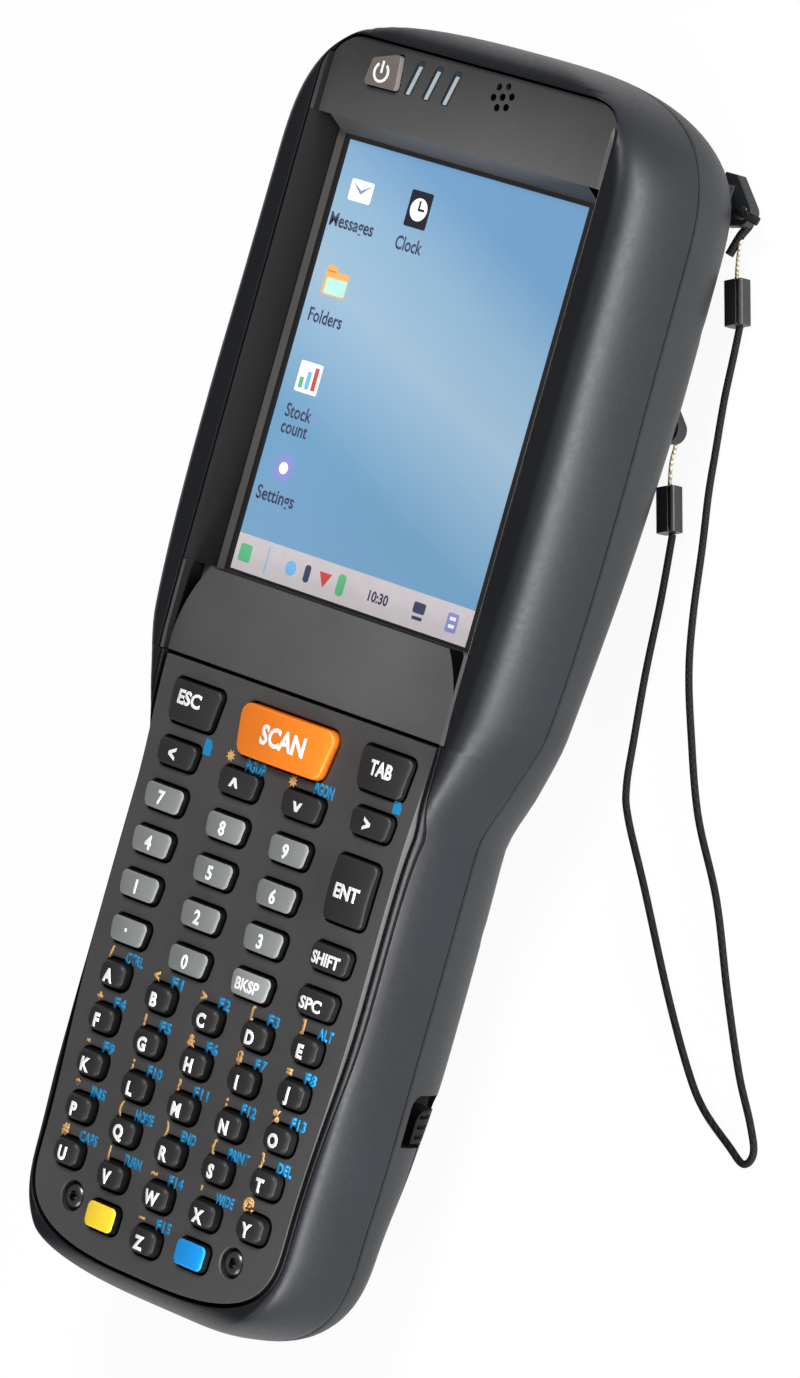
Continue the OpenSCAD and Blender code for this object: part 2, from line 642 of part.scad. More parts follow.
// a key: cap with a crowned top, and a flange that the plate holds down
module key_body(w, l, lean, r, rise, crown) {
  intersection() {
    translate([0, 0, flange_z - flange_t]) linear_extrude(plate_z + rise - flange_z + flange_t)
      key_plan(w, l, lean, r);
    translate([0, 0, plate_z + rise - crown]) sphere(r = crown, $fn = 64);
  }
  translate([0, 0, flange_z - flange_t]) linear_extrude(flange_t) key_plan(w, l, lean, r, flange);
}
module single_key(name, tint, rise, crown) {
  color(tint) for (k = KEYS) if (k[0] == name)
    translate([k[1][0], k[1][1], 0]) key_body(k[2], k[3], k[4], key_r, rise, crown);
}
soft_crown = 26;
dome_crown = 6.5;
module letter_row(i, count = 5) {
  color("#17181a") for (c = [0 : count - 1])
    letter_at(i, count == 1 ? 2 : c) key_body(letter_w, letter_l, 0.1, letter_r, dome_rise, dome_crown);
}
module digit_key(name) { single_key(name, "#8b8d8f", key_rise, soft_crown); }
module black_key(name) { single_key(name, "#202122", key_rise, soft_crown); }
module escape_key() { black_key("escape_key"); }
module tab_key() { black_key("tab_key"); }
module scan_key() { single_key("scan_key", "#f08a1c", key_rise + 0.6, scan_crown); }
module left_key() { black_key("left_key"); }
module up_key() { black_key("up_key"); }
module down_key() { black_key("down_key"); }
module right_key() { black_key("right_key"); }
module key_0() { digit_key("key_0"); }
module key_1() { digit_key("key_1"); }
module key_2() { digit_key("key_2"); }
module key_3() { digit_key("key_3"); }
module key_4() { digit_key("key_4"); }
module key_5() { digit_key("key_5"); }
module key_6() { digit_key("key_6"); }
module key_7() { digit_key("key_7"); }
module key_8() { digit_key("key_8"); }
module key_9() { digit_key("key_9"); }
module point_key() { digit_key("point_key"); }
module enter_key() { black_key("enter_key"); }
module shift_key() { black_key("shift_key"); }
module backspace_key() { digit_key("backspace_key"); }
module space_key() { black_key("space_key"); }
module yellow_key() { single_key("yellow_key", "#f2cf33", key_rise, soft_crown); }
module blue_key() { single_key("blue_key", "#1c93e0", key_rise, soft_crown); }
module power_key() {
  color("#77726c") {
    slab(power_bed - eps, panel_z + 0.9) power_plan();
    translate([power_x, panel_mid, power_bed - flange_t]) cylinder(h = flange_t, d = power_flange_d);
  }
}
module keypad_membrane() {
  color("#55585c") difference() {
    union() {
      slab(kboard_z, membrane_z) plate_plan(-0.9 - seat);
      // bead that the front shell presses on
      slab(membrane_z - eps, skin_z) difference() {
        plate_plan(-0.9 - seat);
        plate_plan(-1.9);
      }
      for (k = KEYS) translate([k[1][0], k[1][1], membrane_z - eps]) cylinder(h = 0.1, d = 2.6, $fn = 24);
    }
    board_holes();
  }
}
module keypad_board() {
  color("#1f5a36") difference() {
    slab(kboard_z - kboard_t, kboard_z) plate_plan(-0.9 - seat);
    board_holes();
  }
}
module board_holes() {
  at_plate_screws() cylinder(h = ledge_z, d = boss_d + 2 * seat, $fn = 24);
}
module keypad_screws() {
  color("#9a9c9e") at_plate_screws() {
    difference() {
      translate([0, 0, plate_z - plate_sink]) cylinder(h = plate_sink - 0.2, d = screw_head);
      translate([0, 0, plate_z - 0.9]) cylinder(h = 1, d = 1.6, $fn = 6);
    }
    translate([0, 0, ledge_z - plate_screw_l])
      cylinder(h = plate_t - plate_sink + plate_screw_l + eps, d = screw_d);
  }
}

// ---- inside ----
can_x = 20;
can_y = 22;
can_w = 26;
can_l = 30;
chip_x = 10;
chip_w = 12;
chip_l = 14;
chip_h = 2.2;
plug_w = 24;
plug_l = 4;
module main_board() {
  color("#1f5a36") {
    difference() {
      slab(board_z, board_z + board_t) half_plan(6, bezel_foot + 3, end_y - 8);
      at_rear_screws() translate([0, 0, board_z - 1]) cylinder(h = 4, d = boss_d + 2 * seat, $fn = 24);
    }
    // shield cans and connectors
    translate([-can_x, disp_y - can_y, board_z + board_t - eps])
      cube([can_w, can_l, module_z - module_t - board_z - board_t + eps]);
    translate([chip_x, disp_y - can_y + 4, board_z + board_t - eps]) cube([chip_w, chip_l, chip_h]);
    translate([-plug_w / 2, bezel_foot + 6, board_z + board_t - eps]) cube([plug_w, plug_l, chip_h]);
  }
}
engine_w = 21;
engine_l = 16;
window_w = 30;
window_low = 4.4;
window_high = 15;
window_lean = 5.5;
window_t = 1.6;
window_set = 1.1;
lens_x = 4.7;
lens_z = 10.9;
lens_d = 5.6;
lamp_w = 7.4;
lamp_h = 5.2;
module scan_engine() {
  color("#3b3f45") difference() {
    block(-engine_w / 2, engine_w / 2, hollow_y - 0.3 - engine_l, hollow_y - 0.3,
      shoulder_rise + wall, board_z);
    translate([-lens_x, hollow_y - 2, lens_z]) rotate([-90, 0, 0]) cylinder(h = 4, d = lens_d);
    block(lens_x - lamp_w / 2, lens_x + lamp_w / 2, hollow_y - 2, hollow_y + 1,
      lens_z - lamp_h / 2, lens_z + lamp_h / 2);
  }
}
module scan_window() {
  color("#5a1414") translate([-window_w / 2, 0, 0]) rotate([90, 0, 90]) linear_extrude(window_w)
    polygon([[end_y - window_set - window_lean - window_t, window_low],
      [end_y - window_set - window_lean, window_low], [end_y - window_set, window_high],
      [end_y - window_set - window_t, window_high]]);
}
contact_w = 14;
contact_l = 6;
contact_y = pack_top - contact_l - 3;
module battery_contacts() {
  color("#c9a24a") {
    block(-contact_w / 2, contact_w / 2, contact_y, contact_y + contact_l, pack_z + slip,
      pack_z + wall + eps);
    block(-contact_w / 2 - 1, contact_w / 2 + 1, contact_y - 1, contact_y + contact_l + 1,
      pack_z + wall, pack_z + wall + 1);
    for (x = [-4.5 : 3 : 4.5]) translate([x, contact_y + contact_l / 2, pack_z])
      cylinder(h = slip + eps, d = 1.4);
  }
}
dock_w = 18;
dock_l = 5;
dock_h = 3.4;
dock_z = pack_seam + 1.3;
dock_y = -end_y + 3;
module dock_connector() {
  color("#1b1b1b") difference() {
    block(-dock_w / 2, dock_w / 2, dock_y, dock_y + dock_l, dock_z, dock_z + dock_h);
    for (x = [-7 : 2 : 7]) translate([x, dock_y - 1, dock_z + dock_h / 2]) rotate([-90, 0, 0])
      cylinder(h = 2.5, d = 1.1, $fn = 24);
  }
}

// ---- battery pack and latch ----
pack_low = 14 - end_y;
latch_x = 22.6;
latch_low = 6.2;
latch_high = 15;
notch_r = 2;
latch_l = notch_l - latch_travel - 2 * slip;
latch_grip = 26.4;
bolt_w = 2.4;
bolt_h = 1.2;
bolt_l = 1.4;
bolt_z = pack_seam - 2.2;
// a block that is open to the side of the body, rounded at its upper corners
module notch_form(x0, y0, y1, z0, z1) {
  translate([x0, 0, 0]) rotate([90, 0, 90]) linear_extrude(2 * grip_half - x0) union() {
    translate([y0, z0]) square([y1 - y0 - notch_r, z1 - z0]);
    translate([y0 + notch_r, z0 + notch_r]) offset(r = notch_r)
      square([y1 - y0 - 2 * notch_r, z1 - z0 - 2 * notch_r]);
  }
}
module battery_pack() {
  color("#1d1f22") difference() {
    intersection() {
      back_form();
      union() {
        block(-pack_half, pack_half, pack_low, pack_top, -1, pack_z);
        block(-2 * grip_half, 2 * grip_half, -end_y - 1, flare_y, -1, pack_seam - slip / 2);
      }
    }
    // strike of the latch bolt
    block(latch_x - slip, latch_x + bolt_w + slip, flare_y - bolt_l - slip, flare_y + 1,
      bolt_z - slip, pack_seam + 1);
  }
}
module battery_latch() {
  color("#0d0d0e") difference() {
    union() {
      intersection() {
        back_form();
        notch_form(latch_x, flare_y + slip, flare_y + slip + latch_l, latch_low + slip, latch_high);
      }
      block(latch_x, latch_x + bolt_w, flare_y - bolt_l, flare_y + slip + eps, bolt_z, bolt_z + bolt_h);
    }
    for (i = [0 : 2]) block(latch_grip, grip_half, flare_y + 1 + i * 1.5, flare_y + 1.6 + i * 1.5,
      bolt_z + bolt_h, latch_high - notch_r / 2);
  }
}
module rear_screws() {
  color("#9a9c9e") at_rear_screws() {
    difference() {
      translate([0, 0, rear_sink - 4]) cylinder(h = 2, d = screw_head);
      translate([0, 0, rear_sink - 5]) cylinder(h = 2, d = 1.8, $fn = 6);
    }
    translate([0, 0, rear_sink - 2 - eps]) cylinder(h = rear_screw_l, d = screw_d);
  }
}

// ---- cord anchors, loops, clips and tether ----
anchor_x = 28.6;
anchor_y = disp_y + 38.6;
anchor2_x = 26.6;
anchor2_y = disp_y + 5.9;
root_w = 3.2;
root_l = 4.6;
root_h = 8;
lug_low = 1.6;
lug_t = 2;
lug_r = 1.9;
eye_d = 2.2;
eye_x = 2.5;
eye_y = -1.1;
// flat lug that runs out of the back corner, rounded round its eye
module lug_plan() {
  hull() {
    translate([eye_x, eye_y]) circle(lug_r);
    translate([-2.4, -3.6]) square([2.4, 7.6]);
  }
}
module anchor_socket() {
  slab(-1, lug_low + lug_t + seat) offset(delta = seat) lug_plan();
  block(-root_w - seat, seat, -root_l / 2 - seat, root_l / 2 + seat, -1, root_h);
}
module anchor() {
  color("#34363a") {
    slab(lug_low, lug_low + lug_t) difference() {
      lug_plan();
      translate([eye_x, eye_y]) circle(d = eye_d, $fn = 24);
    }
    block(-root_w, 0, -root_l / 2, root_l / 2, lug_low, root_h);
  }
}
module upper_anchor() { translate([anchor_x, anchor_y, 0]) anchor(); }
module lower_anchor() { translate([anchor2_x, anchor2_y, 0]) anchor(); }

// a round tube along a smooth curve through chosen points
function curve(P, i, t) = let (
  a = P[max(i - 1, 0)], b = P[i], c = P[i + 1], d = P[min(i + 2, len(P) - 1)])
  0.5 * ((2 * b) + (c - a) * t + (2 * a - 5 * b + 4 * c - d) * t * t + (3 * b - a - 3 * c + d) * t * t * t);
function route(P, n) = concat(
  [for (i = [0 : len(P) - 2]) for (k = [0 : n - 1]) curve(P, i, k / n)], [P[len(P) - 1]]);
function unit(v) = v / norm(v);
function along(C, i) = unit(C[min(i + 1, len(C) - 1)] - C[max(i - 1, 0)]);
function tube_ring(C, i, d, sides, aim) =
  let (t = along(C, i), u = unit(cross(aim, t)), v = cross(t, u), a = 180 / sides)
  [for (k = [0 : sides - 1]) C[i] + (u * cos(2 * k * a + a) - v * sin(2 * k * a + a)) * d / 2];
// aim is a direction that the curve never takes
module tube(P, n, d, sides = 8, aim = [0, 0, 1]) {
  C = route(P, n);
  loft([for (i = [0 : len(C) - 1]) tube_ring(C, i, d, sides, aim)]);
}
lie = 0.62;
// chosen points of the tether on the resting plane, counted from the middle of the display,
// from the upper to the lower clip
TETHER = [[34.15, 22.6], [34.6, 18.2], [35.2, 11.2], [36.3, 3.6], [37.2, -2.4], [38.8, -9.9], [40.6, -19.4],
  [42.7, -27.2], [46.1, -35.2], [51.7, -46.4], [59.3, -56.9], [65.9, -68.8], [72, -79], [76.4, -85],
  [78.6, -88.8], [77.4, -90.8], [73.8, -89.1], [67.5, -85.5], [62.6, -80.8], [55.3, -71.8], [46.1, -59.2],
  [39.4, -50.3], [37.4, -46], [36.3, -39.1], [35, -29.5], [34, -18.8], [32.75, -9.5]];
clip_turn = 21.3;
clip_at = [33.2, 24.9];
clip2_at = [31.5, -6.3];
LOOP_1 = [[30.6, 34.6, 1.5], [31.1, 32.4, 1.7], [31.7, 29.8, 1.7], [32.2, 27.2, 1.4]];
LOOP_2 = [[29.1, 4.3, 3], [29.1, 4.1, 1.6], [29.1, 2.8, 1.05], [29.4, 0.4, 1.3], [30.2, -2, 1.5],
  [30.7, -3.8, 1.4]];
// hitch of the upper loop: stub, turn through the eye, and the end that lies along the body
HITCH = [[35.2, 36.9, 4.1], [34, 37.2, 4.7], [32.6, 37.5, 4.8], [31.1, 37.5, 4.1], [31.1, 37.5, 2.4],
  [31.05, 37.3, 1.05], [30.8, 36, 0.75], [30.5, 34.2, 1.6], [29.8, 31.2, 2]];
hitch_d = 1.3;
module tether_cord() {
  color("#141414") beside_display() tube([for (p = TETHER) [p[0], p[1], lie]], 3, cord_d);
}
module beside_display() { translate([0, disp_y, 0]) children(); }
module clip() {
  color("#101010") difference() {
    translate([0, -clip_l / 2, 0]) rotate([-90, 0, 0]) linear_extrude(clip_l)
      offset(r = 0.6) offset(delta = -0.6) translate([-clip_w / 2, -clip_h]) square([clip_w, clip_h]);
    block(clip_w / 2 - 1, clip_w / 2 - 0.5, -clip_l, clip_l, clip_h - 0.3, clip_h + 1);
  }
}
module upper_cord_clip() {
  beside_display() translate([clip_at[0], clip_at[1], 0]) rotate(clip_turn) clip();
}
module lower_cord_clip() {
  beside_display() translate([clip2_at[0], clip2_at[1], 0]) rotate(clip_turn) clip();
}
module upper_cord_loop() {
  color("#2a2926") beside_display() {
    tube(LOOP_1, 3, loop_d);
    tube(HITCH, 3, hitch_d, aim = [1, -1, 0]);
  }
}
module lower_cord_loop() { color("#8a8474") beside_display() tube(LOOP_2, 3, loop_d); }

front_housing();
rear_housing();
housing_seal();
display_bezel();
keypad_bezel();
touch_window();
display_gasket();
display_module();
main_board();
keypad_board();
keypad_membrane();
light_pipes();
speaker();
scan_engine();
scan_window();
battery_pack();
battery_latch();
battery_contacts();
dock_connector();
keypad_screws();
rear_screws();
upper_anchor();
lower_anchor();
upper_cord_loop();
lower_cord_loop();
upper_cord_clip();
lower_cord_clip();
tether_cord();
power_key();
escape_key();
scan_key();
tab_key();
left_key();
up_key();
down_key();
right_key();
key_0();
key_1();
key_2();
key_3();
key_4();
key_5();
key_6();
key_7();
key_8();
key_9();
point_key();
enter_key();
shift_key();
backspace_key();
space_key();
yellow_key();
blue_key();
letter_row(0);  // letters_a_to_e
letter_row(1);  // letters_f_to_j
letter_row(2);  // letters_k_to_o
letter_row(3);  // letters_p_to_t
letter_row(4);  // letters_u_to_y
letter_row(5, 1);  // letter_z
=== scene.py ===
import bmesh
import bpy
import json
import math
from mathutils import Matrix, Vector


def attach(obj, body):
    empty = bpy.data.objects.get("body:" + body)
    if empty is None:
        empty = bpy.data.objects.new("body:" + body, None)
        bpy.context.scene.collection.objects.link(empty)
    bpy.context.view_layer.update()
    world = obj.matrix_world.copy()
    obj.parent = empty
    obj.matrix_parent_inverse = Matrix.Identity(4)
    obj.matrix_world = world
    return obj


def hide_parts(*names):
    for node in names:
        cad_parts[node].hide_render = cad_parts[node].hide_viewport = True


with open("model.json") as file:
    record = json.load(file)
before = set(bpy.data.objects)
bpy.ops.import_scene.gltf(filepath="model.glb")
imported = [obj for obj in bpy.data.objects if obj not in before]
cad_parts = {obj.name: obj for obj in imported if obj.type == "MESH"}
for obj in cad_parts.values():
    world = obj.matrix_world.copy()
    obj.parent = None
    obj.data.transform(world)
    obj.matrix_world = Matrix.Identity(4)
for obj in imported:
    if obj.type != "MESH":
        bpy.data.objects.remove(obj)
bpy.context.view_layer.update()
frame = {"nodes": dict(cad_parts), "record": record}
NODES = frame["nodes"]
MM = 0.001
ROOT = "terminal"

# ------------------------------------------------------------------ body form
# All sizes are in mm. +X points right across the keypad, +Y to the head, +Z out of the display.
END = 95.3                      # half of the body's length
SEAM, RIM, RISE = 18.5, 31.6, 0.6
BEZEL_TOP = END - 4.5
DY = BEZEL_TOP - 12 - 35.2      # middle of the display
PLATE_TOP = DY - 33 - 13.6      # upper end of the keypad plate
PLATE_LOW = 4.9 - END           # and its lower end
PLATE_BACK = RIM - 2
HEAD, WAIST, GRIP, BASE = 37.4, 29.2, 29.3, 28.8
CROWN_Y, CHEST_Y, SHOULDER_Y = DY + 12, DY - 8, PLATE_TOP + 5.4
NECK_Y, WAIST_Y = PLATE_TOP - 3.7, PLATE_TOP - 14.2
GRIP_Y, HEEL_Y, BASE_Y = PLATE_TOP - 37.8, 32.5 - END, 16.9 - END
REST_Y = GRIP_Y - 0.35 * (GRIP_Y - HEEL_Y)
# place, half width, front edge, rise of the back, back corner
BODY = [(-END, BASE, 2.9, 5.5, 22), (BASE_Y, BASE, 2.9, 5, 22), (HEEL_Y, GRIP, 2.9, 2, 22),
        (REST_Y, GRIP, 2.9, 0, 22), (GRIP_Y, GRIP, 2.9, 0, 22), (WAIST_Y, WAIST, 2.9, 0.575, 22),
        (NECK_Y, (WAIST + HEAD) / 2 - 0.5, 3.6, 1.84, 19.75), (SHOULDER_Y, HEAD - 1.3, 4.7, 4.6, 17.5),
        (CHEST_Y, HEAD, 4.7, 4.6 / 3, 17.5), (CROWN_Y, HEAD - 0.3, 4.7, 0, 17.5),
        (END, HEAD - 0.6, 4.7, 0, 17.5)]
# place and half width of the keypad plate
PLATE = [(-END, 25.8), (PLATE_LOW + 14.6, 25.8), (PLATE_LOW + 41.6, 27.1), (PLATE_TOP - 17.8, 27.2),
         (PLATE_TOP, 28.1), (PLATE_TOP + 3, 28.1)]


def slope(T, k, j):
    """Slope of column k at row j of a table: none at its ends and at a turn."""
    if j <= 0 or j >= len(T) - 1 or (T[j + 1][k] - T[j][k]) * (T[j][k] - T[j - 1][k]) <= 0:
        return 0.0
    return (T[j + 1][k] - T[j - 1][k]) / (T[j + 1][0] - T[j - 1][0])


def ease(T, k, y):
    """Column k of a table at the place y, on smooth curves between its rows."""
    j = 0
    while j < len(T) - 2 and y >= T[j + 1][0]:
        j += 1
    h = T[j + 1][0] - T[j][0]
    t = min(max((y - T[j][0]) / h, 0), 1)
    return ((2 * t ** 3 - 3 * t * t + 1) * T[j][k] + (t ** 3 - 2 * t * t + t) * slope(T, k, j) * h
            + (3 * t * t - 2 * t ** 3) * T[j + 1][k] + (t ** 3 - t * t) * slope(T, k, j + 1) * h)


def smooth(t):
    t = min(max(t, 0), 1)
    return t * t * (3 - 2 * t)


def fall(u, n):
    """Superelliptic fall from 1 to 0."""
    return max(1 - min(max(u, 0), 1) ** n, 0) ** (1 / n)


FORM_END = END - 0.15           # the shells end here, inside the CAD box
STRETCH = END / FORM_END


def ends(y, top, foot, nt, nf):
    """1 along the body, falling to 0 over the lengths top and foot at its two ends."""
    return fall((y - END + top) / top, nt) * fall((foot - END - y) / foot, nf)


def half_w(y):
    y *= STRETCH
    return ease(BODY, 1, y) * ends(y, 25, 18.5, 3.2, 2.8)


def front_ends(y):
    return ends(y, 5, 6, 2.8, 1.8)


def front_h(y):
    y *= STRETCH
    return (RIM - SEAM + RISE * smooth((y - PLATE_TOP + 9) / 16)) * front_ends(y)


def back_h(y):
    y *= STRETCH
    return (SEAM - ease(BODY, 3, y)) * ends(y, 15.5, 18, 1.9, 2.5)


def front_edge(y):
    ys = y * STRETCH
    return max(min(ease(BODY, 2, ys) + 5.6 * (1 - front_ends(ys)), 0.9 * half_w(y)), 1e-4)


def back_edge(y):
    return max(min(ease(BODY, 4, y * STRETCH), 0.9 * half_w(y)), 1e-4)


def front_z(x, y):
    w, e, h = half_w(y), front_edge(y), front_h(y)
    d = min(max((abs(x) - (w - e)) / e, 0), 1)
    n = 2.7 - 0.6 * smooth((y - WAIST_Y) / (SHOULDER_Y - WAIST_Y))
    return SEAM + h * (1 - d ** n) ** (1 / n)


def plate_w(y):
    return ease(PLATE, 1, y) * fall((13 + PLATE_LOW - y) / 13, 3)


# ------------------------------------------------------------------ mesh helpers
def link(ob):
    bpy.context.scene.collection.objects.link(ob)
    return ob


def recalc(me):
    """Turn the faces of a closed mesh outwards."""
    bm = bmesh.new()
    bm.from_mesh(me)
    bmesh.ops.recalc_face_normals(bm, faces=bm.faces)
    bm.to_mesh(me)
    bm.free()


def sharpen(me, angle):
    """Smooth shading, with the edges that turn more than the angle kept sharp."""
    bm = bmesh.new()
    bm.from_mesh(me)
    for f in bm.faces:
        f.smooth = True
    for e in bm.edges:
        e.smooth = not (len(e.link_faces) == 2 and e.calc_face_angle(0) > math.radians(angle))
    bm.to_mesh(me)
    bm.free()


def new_mesh(name, verts, faces, mats, angle=30, index=None):
    """A closed mesh from points in mm."""
    me = bpy.data.meshes.new(name)
    me.from_pydata([(x * MM, y * MM, z * MM) for x, y, z in verts], [], faces)
    for m in mats:
        me.materials.append(m)
    if index:
        for p, i in zip(me.polygons, index):
            p.material_index = i
    recalc(me)
    me.update()
    sharpen(me, angle)
    return link(bpy.data.objects.new(name, me))


def rings_mesh(name, rings, mats, angle=30, index=None):
    """Closed solid through rings that all have the same number of points."""
    n = len(rings[0])
    verts = [p for r in rings for p in r]
    faces = []
    for k in range(len(rings) - 1):
        for i in range(n):
            faces.append((k * n + i, k * n + (i + 1) % n, (k + 1) * n + (i + 1) % n, (k + 1) * n + i))
    faces.append(tuple(range(n)))
    faces.append(tuple((len(rings) - 1) * n + i for i in range(n)))
    return new_mesh(name, verts, faces, mats, angle, index)


def evaluated_mesh(ob, **layers):
    dg = bpy.context.evaluated_depsgraph_get()
    return bpy.data.meshes.new_from_object(ob.evaluated_get(dg), depsgraph=dg, **layers)


def cut(ob, tool, how="DIFFERENCE"):
    """Cut an object with a tool, which is used up."""
    m = ob.modifiers.new("cut", "BOOLEAN")
    m.operation, m.solver, m.object = how, "EXACT", tool
    me = evaluated_mesh(ob, preserve_all_data_layers=True)
    ob.modifiers.clear()
    ob.data = me
    bpy.data.objects.remove(tool)


def bevel(ob, width):
    m = ob.modifiers.new("edge", "BEVEL")
    m.width, m.segments, m.limit_method = width * MM, 2, "ANGLE"
    m.angle_limit = math.radians(35)


def block(x0, x1, y0, y1, z0, z1):
    v = [(x, y, z) for z in (z0, z1) for y in (y0, y1) for x in (x0, x1)]
    f = [(0, 2, 3, 1), (4, 5, 7, 6), (0, 1, 5, 4), (2, 6, 7, 3), (0, 4, 6, 2), (1, 3, 7, 5)]
    return new_mesh("tool", v, f, [])


def prism(outline, z0, z1):
    return rings_mesh("tool", [[(x, y, z0) for x, y in outline], [(x, y, z1) for x, y in outline]], [])


def circle(r, n, x=0, y=0):
    """Points on a circle round (x, y)."""
    return [(x + r * math.cos(2 * math.pi * i / n), y + r * math.sin(2 * math.pi * i / n)) for i in range(n)]


def arc(x, y, r, degrees):
    return [(x + r * math.cos(a), y + r * math.sin(a)) for a in map(math.radians, degrees)]


def body_of(node):
    for b, members in frame["record"]["behaviour"]["bodies"].items():
        if node in members:
            return b
    return ROOT


def wear(ob, node, slot=None):
    """Let a piece ride the body of a CAD node, in place of that node."""
    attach(ob, body_of(node))
    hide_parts(node)
    return ob


def from_node(node, mat, width):
    """A piece with the solid of a CAD node, joined and with eased edges."""
    me = NODES[node].data.copy()
    me.name = node + "_form"
    me.materials.clear()
    me.materials.append(mat)
    bm = bmesh.new()
    bm.from_mesh(me)
    bmesh.ops.remove_doubles(bm, verts=bm.verts, dist=1e-6)
    bmesh.ops.dissolve_limit(bm, angle_limit=math.radians(1), verts=bm.verts, edges=bm.edges)
    bmesh.ops.recalc_face_normals(bm, faces=bm.faces)
    bm.to_mesh(me)
    bm.free()
    sharpen(me, 30)
    ob = link(bpy.data.objects.new(node + "_piece", me))
    bevel(ob, width)
    return wear(ob, node)


def corner_arcs(pts, r, seg=6):
    """Inset corners and the arc directions of a convex outline, so that offsets keep their points."""
    n = len(pts)
    out = []
    for i in range(n):
        a, b, c = Vector(pts[i - 1]), Vector(pts[i]), Vector(pts[(i + 1) % n])
        u, v = (b - a).normalized(), (c - b).normalized()
        n1, n2 = Vector((u.y, -u.x)), Vector((v.y, -v.x))
        turn = math.atan2(n1.x * n2.y - n1.y * n2.x, n1.dot(n2))
        k = 1 + n1.dot(n2)
        core = b - (n1 + n2) / k * r
        a0 = math.atan2(n1.y, n1.x)
        for s in range(seg + 1):
            t = a0 + turn * s / seg
            out.append((core, Vector((math.cos(t), math.sin(t)))))
    return out


def with_sides(arcs, seg, count=4):
    """The same outline with points along its straight sides."""
    out = []
    for i, (c, d) in enumerate(arcs):
        out.append((c, d))
        if i % (seg + 1) == seg:
            c2 = arcs[(i + 1) % len(arcs)][0]
            out += [(c.lerp(c2, k / (count + 1)), d) for k in range(1, count + 1)]
    return out


def ring_at(arcs, radius):
    """The points of an outline at a radius from its inset corners."""
    return [(c.x + d.x * radius, c.y + d.y * radius) for c, d in arcs]


# ------------------------------------------------------------------ materials
GRAIN_DEPTH = 0.0002            # metres
GLOSS_VARY = 0.08


def new_material(name):
    """A material with its nodes, its links and its main shader."""
    mat = bpy.data.materials.new(name)
    mat.use_nodes = True
    N = mat.node_tree.nodes
    return mat, N, mat.node_tree.links, N["Principled BSDF"]


def add(N, kind, values, operation=None):
    """A shader node with values for its inputs."""
    made = N.new("ShaderNode" + kind)
    for key, value in values.items():
        made.inputs[key].default_value = value
    if operation:
        made.operation = operation
    return made


def place(N):
    """Coordinates of a point on its own object, in metres."""
    return N.new("ShaderNodeTexCoord").outputs["Object"]


def grain_bump(N, L, b, source, strength):
    bp = add(N, "Bump", {"Strength": strength, "Distance": GRAIN_DEPTH})
    L.new(source, bp.inputs["Height"])
    L.new(bp.outputs["Normal"], b.inputs["Normal"])


def plastic(name, rgb, rough=0.45, vary=0.12, grain=900.0, bump=0.05, spec=0.5, coat=0.0, mottle=60.0):
    """Moulded plastic: fine surface grain, slight mottling of colour and gloss."""
    mat, N, L, b = new_material(name)
    at = place(N)
    big = add(N, "TexNoise", {"Scale": mottle, "Detail": 3.0})
    L.new(at, big.inputs["Vector"])
    ramp = N.new("ShaderNodeValToRGB")
    ramp.color_ramp.elements[0].position = 0.3
    ramp.color_ramp.elements[1].position = 0.7
    ramp.color_ramp.elements[0].color = tuple(c * (1 - vary) for c in rgb) + (1,)
    ramp.color_ramp.elements[1].color = tuple(min(c * (1 + vary), 1) for c in rgb) + (1,)
    L.new(big.outputs["Fac"], ramp.inputs["Fac"])
    L.new(ramp.outputs["Color"], b.inputs["Base Color"])
    fine = add(N, "TexNoise", {"Scale": grain, "Detail": 2.0})
    L.new(at, fine.inputs["Vector"])
    low, high = max(rough - GLOSS_VARY, 0.02), min(rough + GLOSS_VARY, 1.0)
    gloss = add(N, "MapRange", {"To Min": low, "To Max": high})
    L.new(fine.outputs["Fac"], gloss.inputs["Value"])
    L.new(gloss.outputs["Result"], b.inputs["Roughness"])
    if bump:
        grain_bump(N, L, b, fine.outputs["Fac"], bump)
    b.inputs["Specular IOR Level"].default_value = spec
    b.inputs["Coat Weight"].default_value = coat
    return mat


def metal(name, rgb, rough):
    mat = plastic(name, rgb, rough, vary=0.06, grain=1500, bump=0.04)
    mat.node_tree.nodes["Principled BSDF"].inputs["Metallic"].default_value = 1.0
    return mat


def braid(name, rgb):
    """Braided or twisted thread."""
    mat, N, L, b = new_material(name)
    wave = add(N, "TexWave", {"Scale": 1100, "Distortion": 3.0})
    wave.bands_direction = "DIAGONAL"
    L.new(place(N), wave.inputs["Vector"])
    ramp = N.new("ShaderNodeValToRGB")
    ramp.color_ramp.elements[0].color = tuple(c * 0.5 for c in rgb) + (1,)
    ramp.color_ramp.elements[1].color = tuple(c * 1.6 for c in rgb) + (1,)
    L.new(wave.outputs["Fac"], ramp.inputs["Fac"])
    L.new(ramp.outputs["Color"], b.inputs["Base Color"])
    grain_bump(N, L, b, wave.outputs["Fac"], 0.5)
    b.inputs["Roughness"].default_value = 0.7
    b.inputs["Specular IOR Level"].default_value = 0.15
    return mat


def key_rubber(name, rgb, rough=0.42, vary=0.06, bump=0.06, spec=0.5):
    return plastic(name, rgb, rough, vary, 1300, bump, spec)


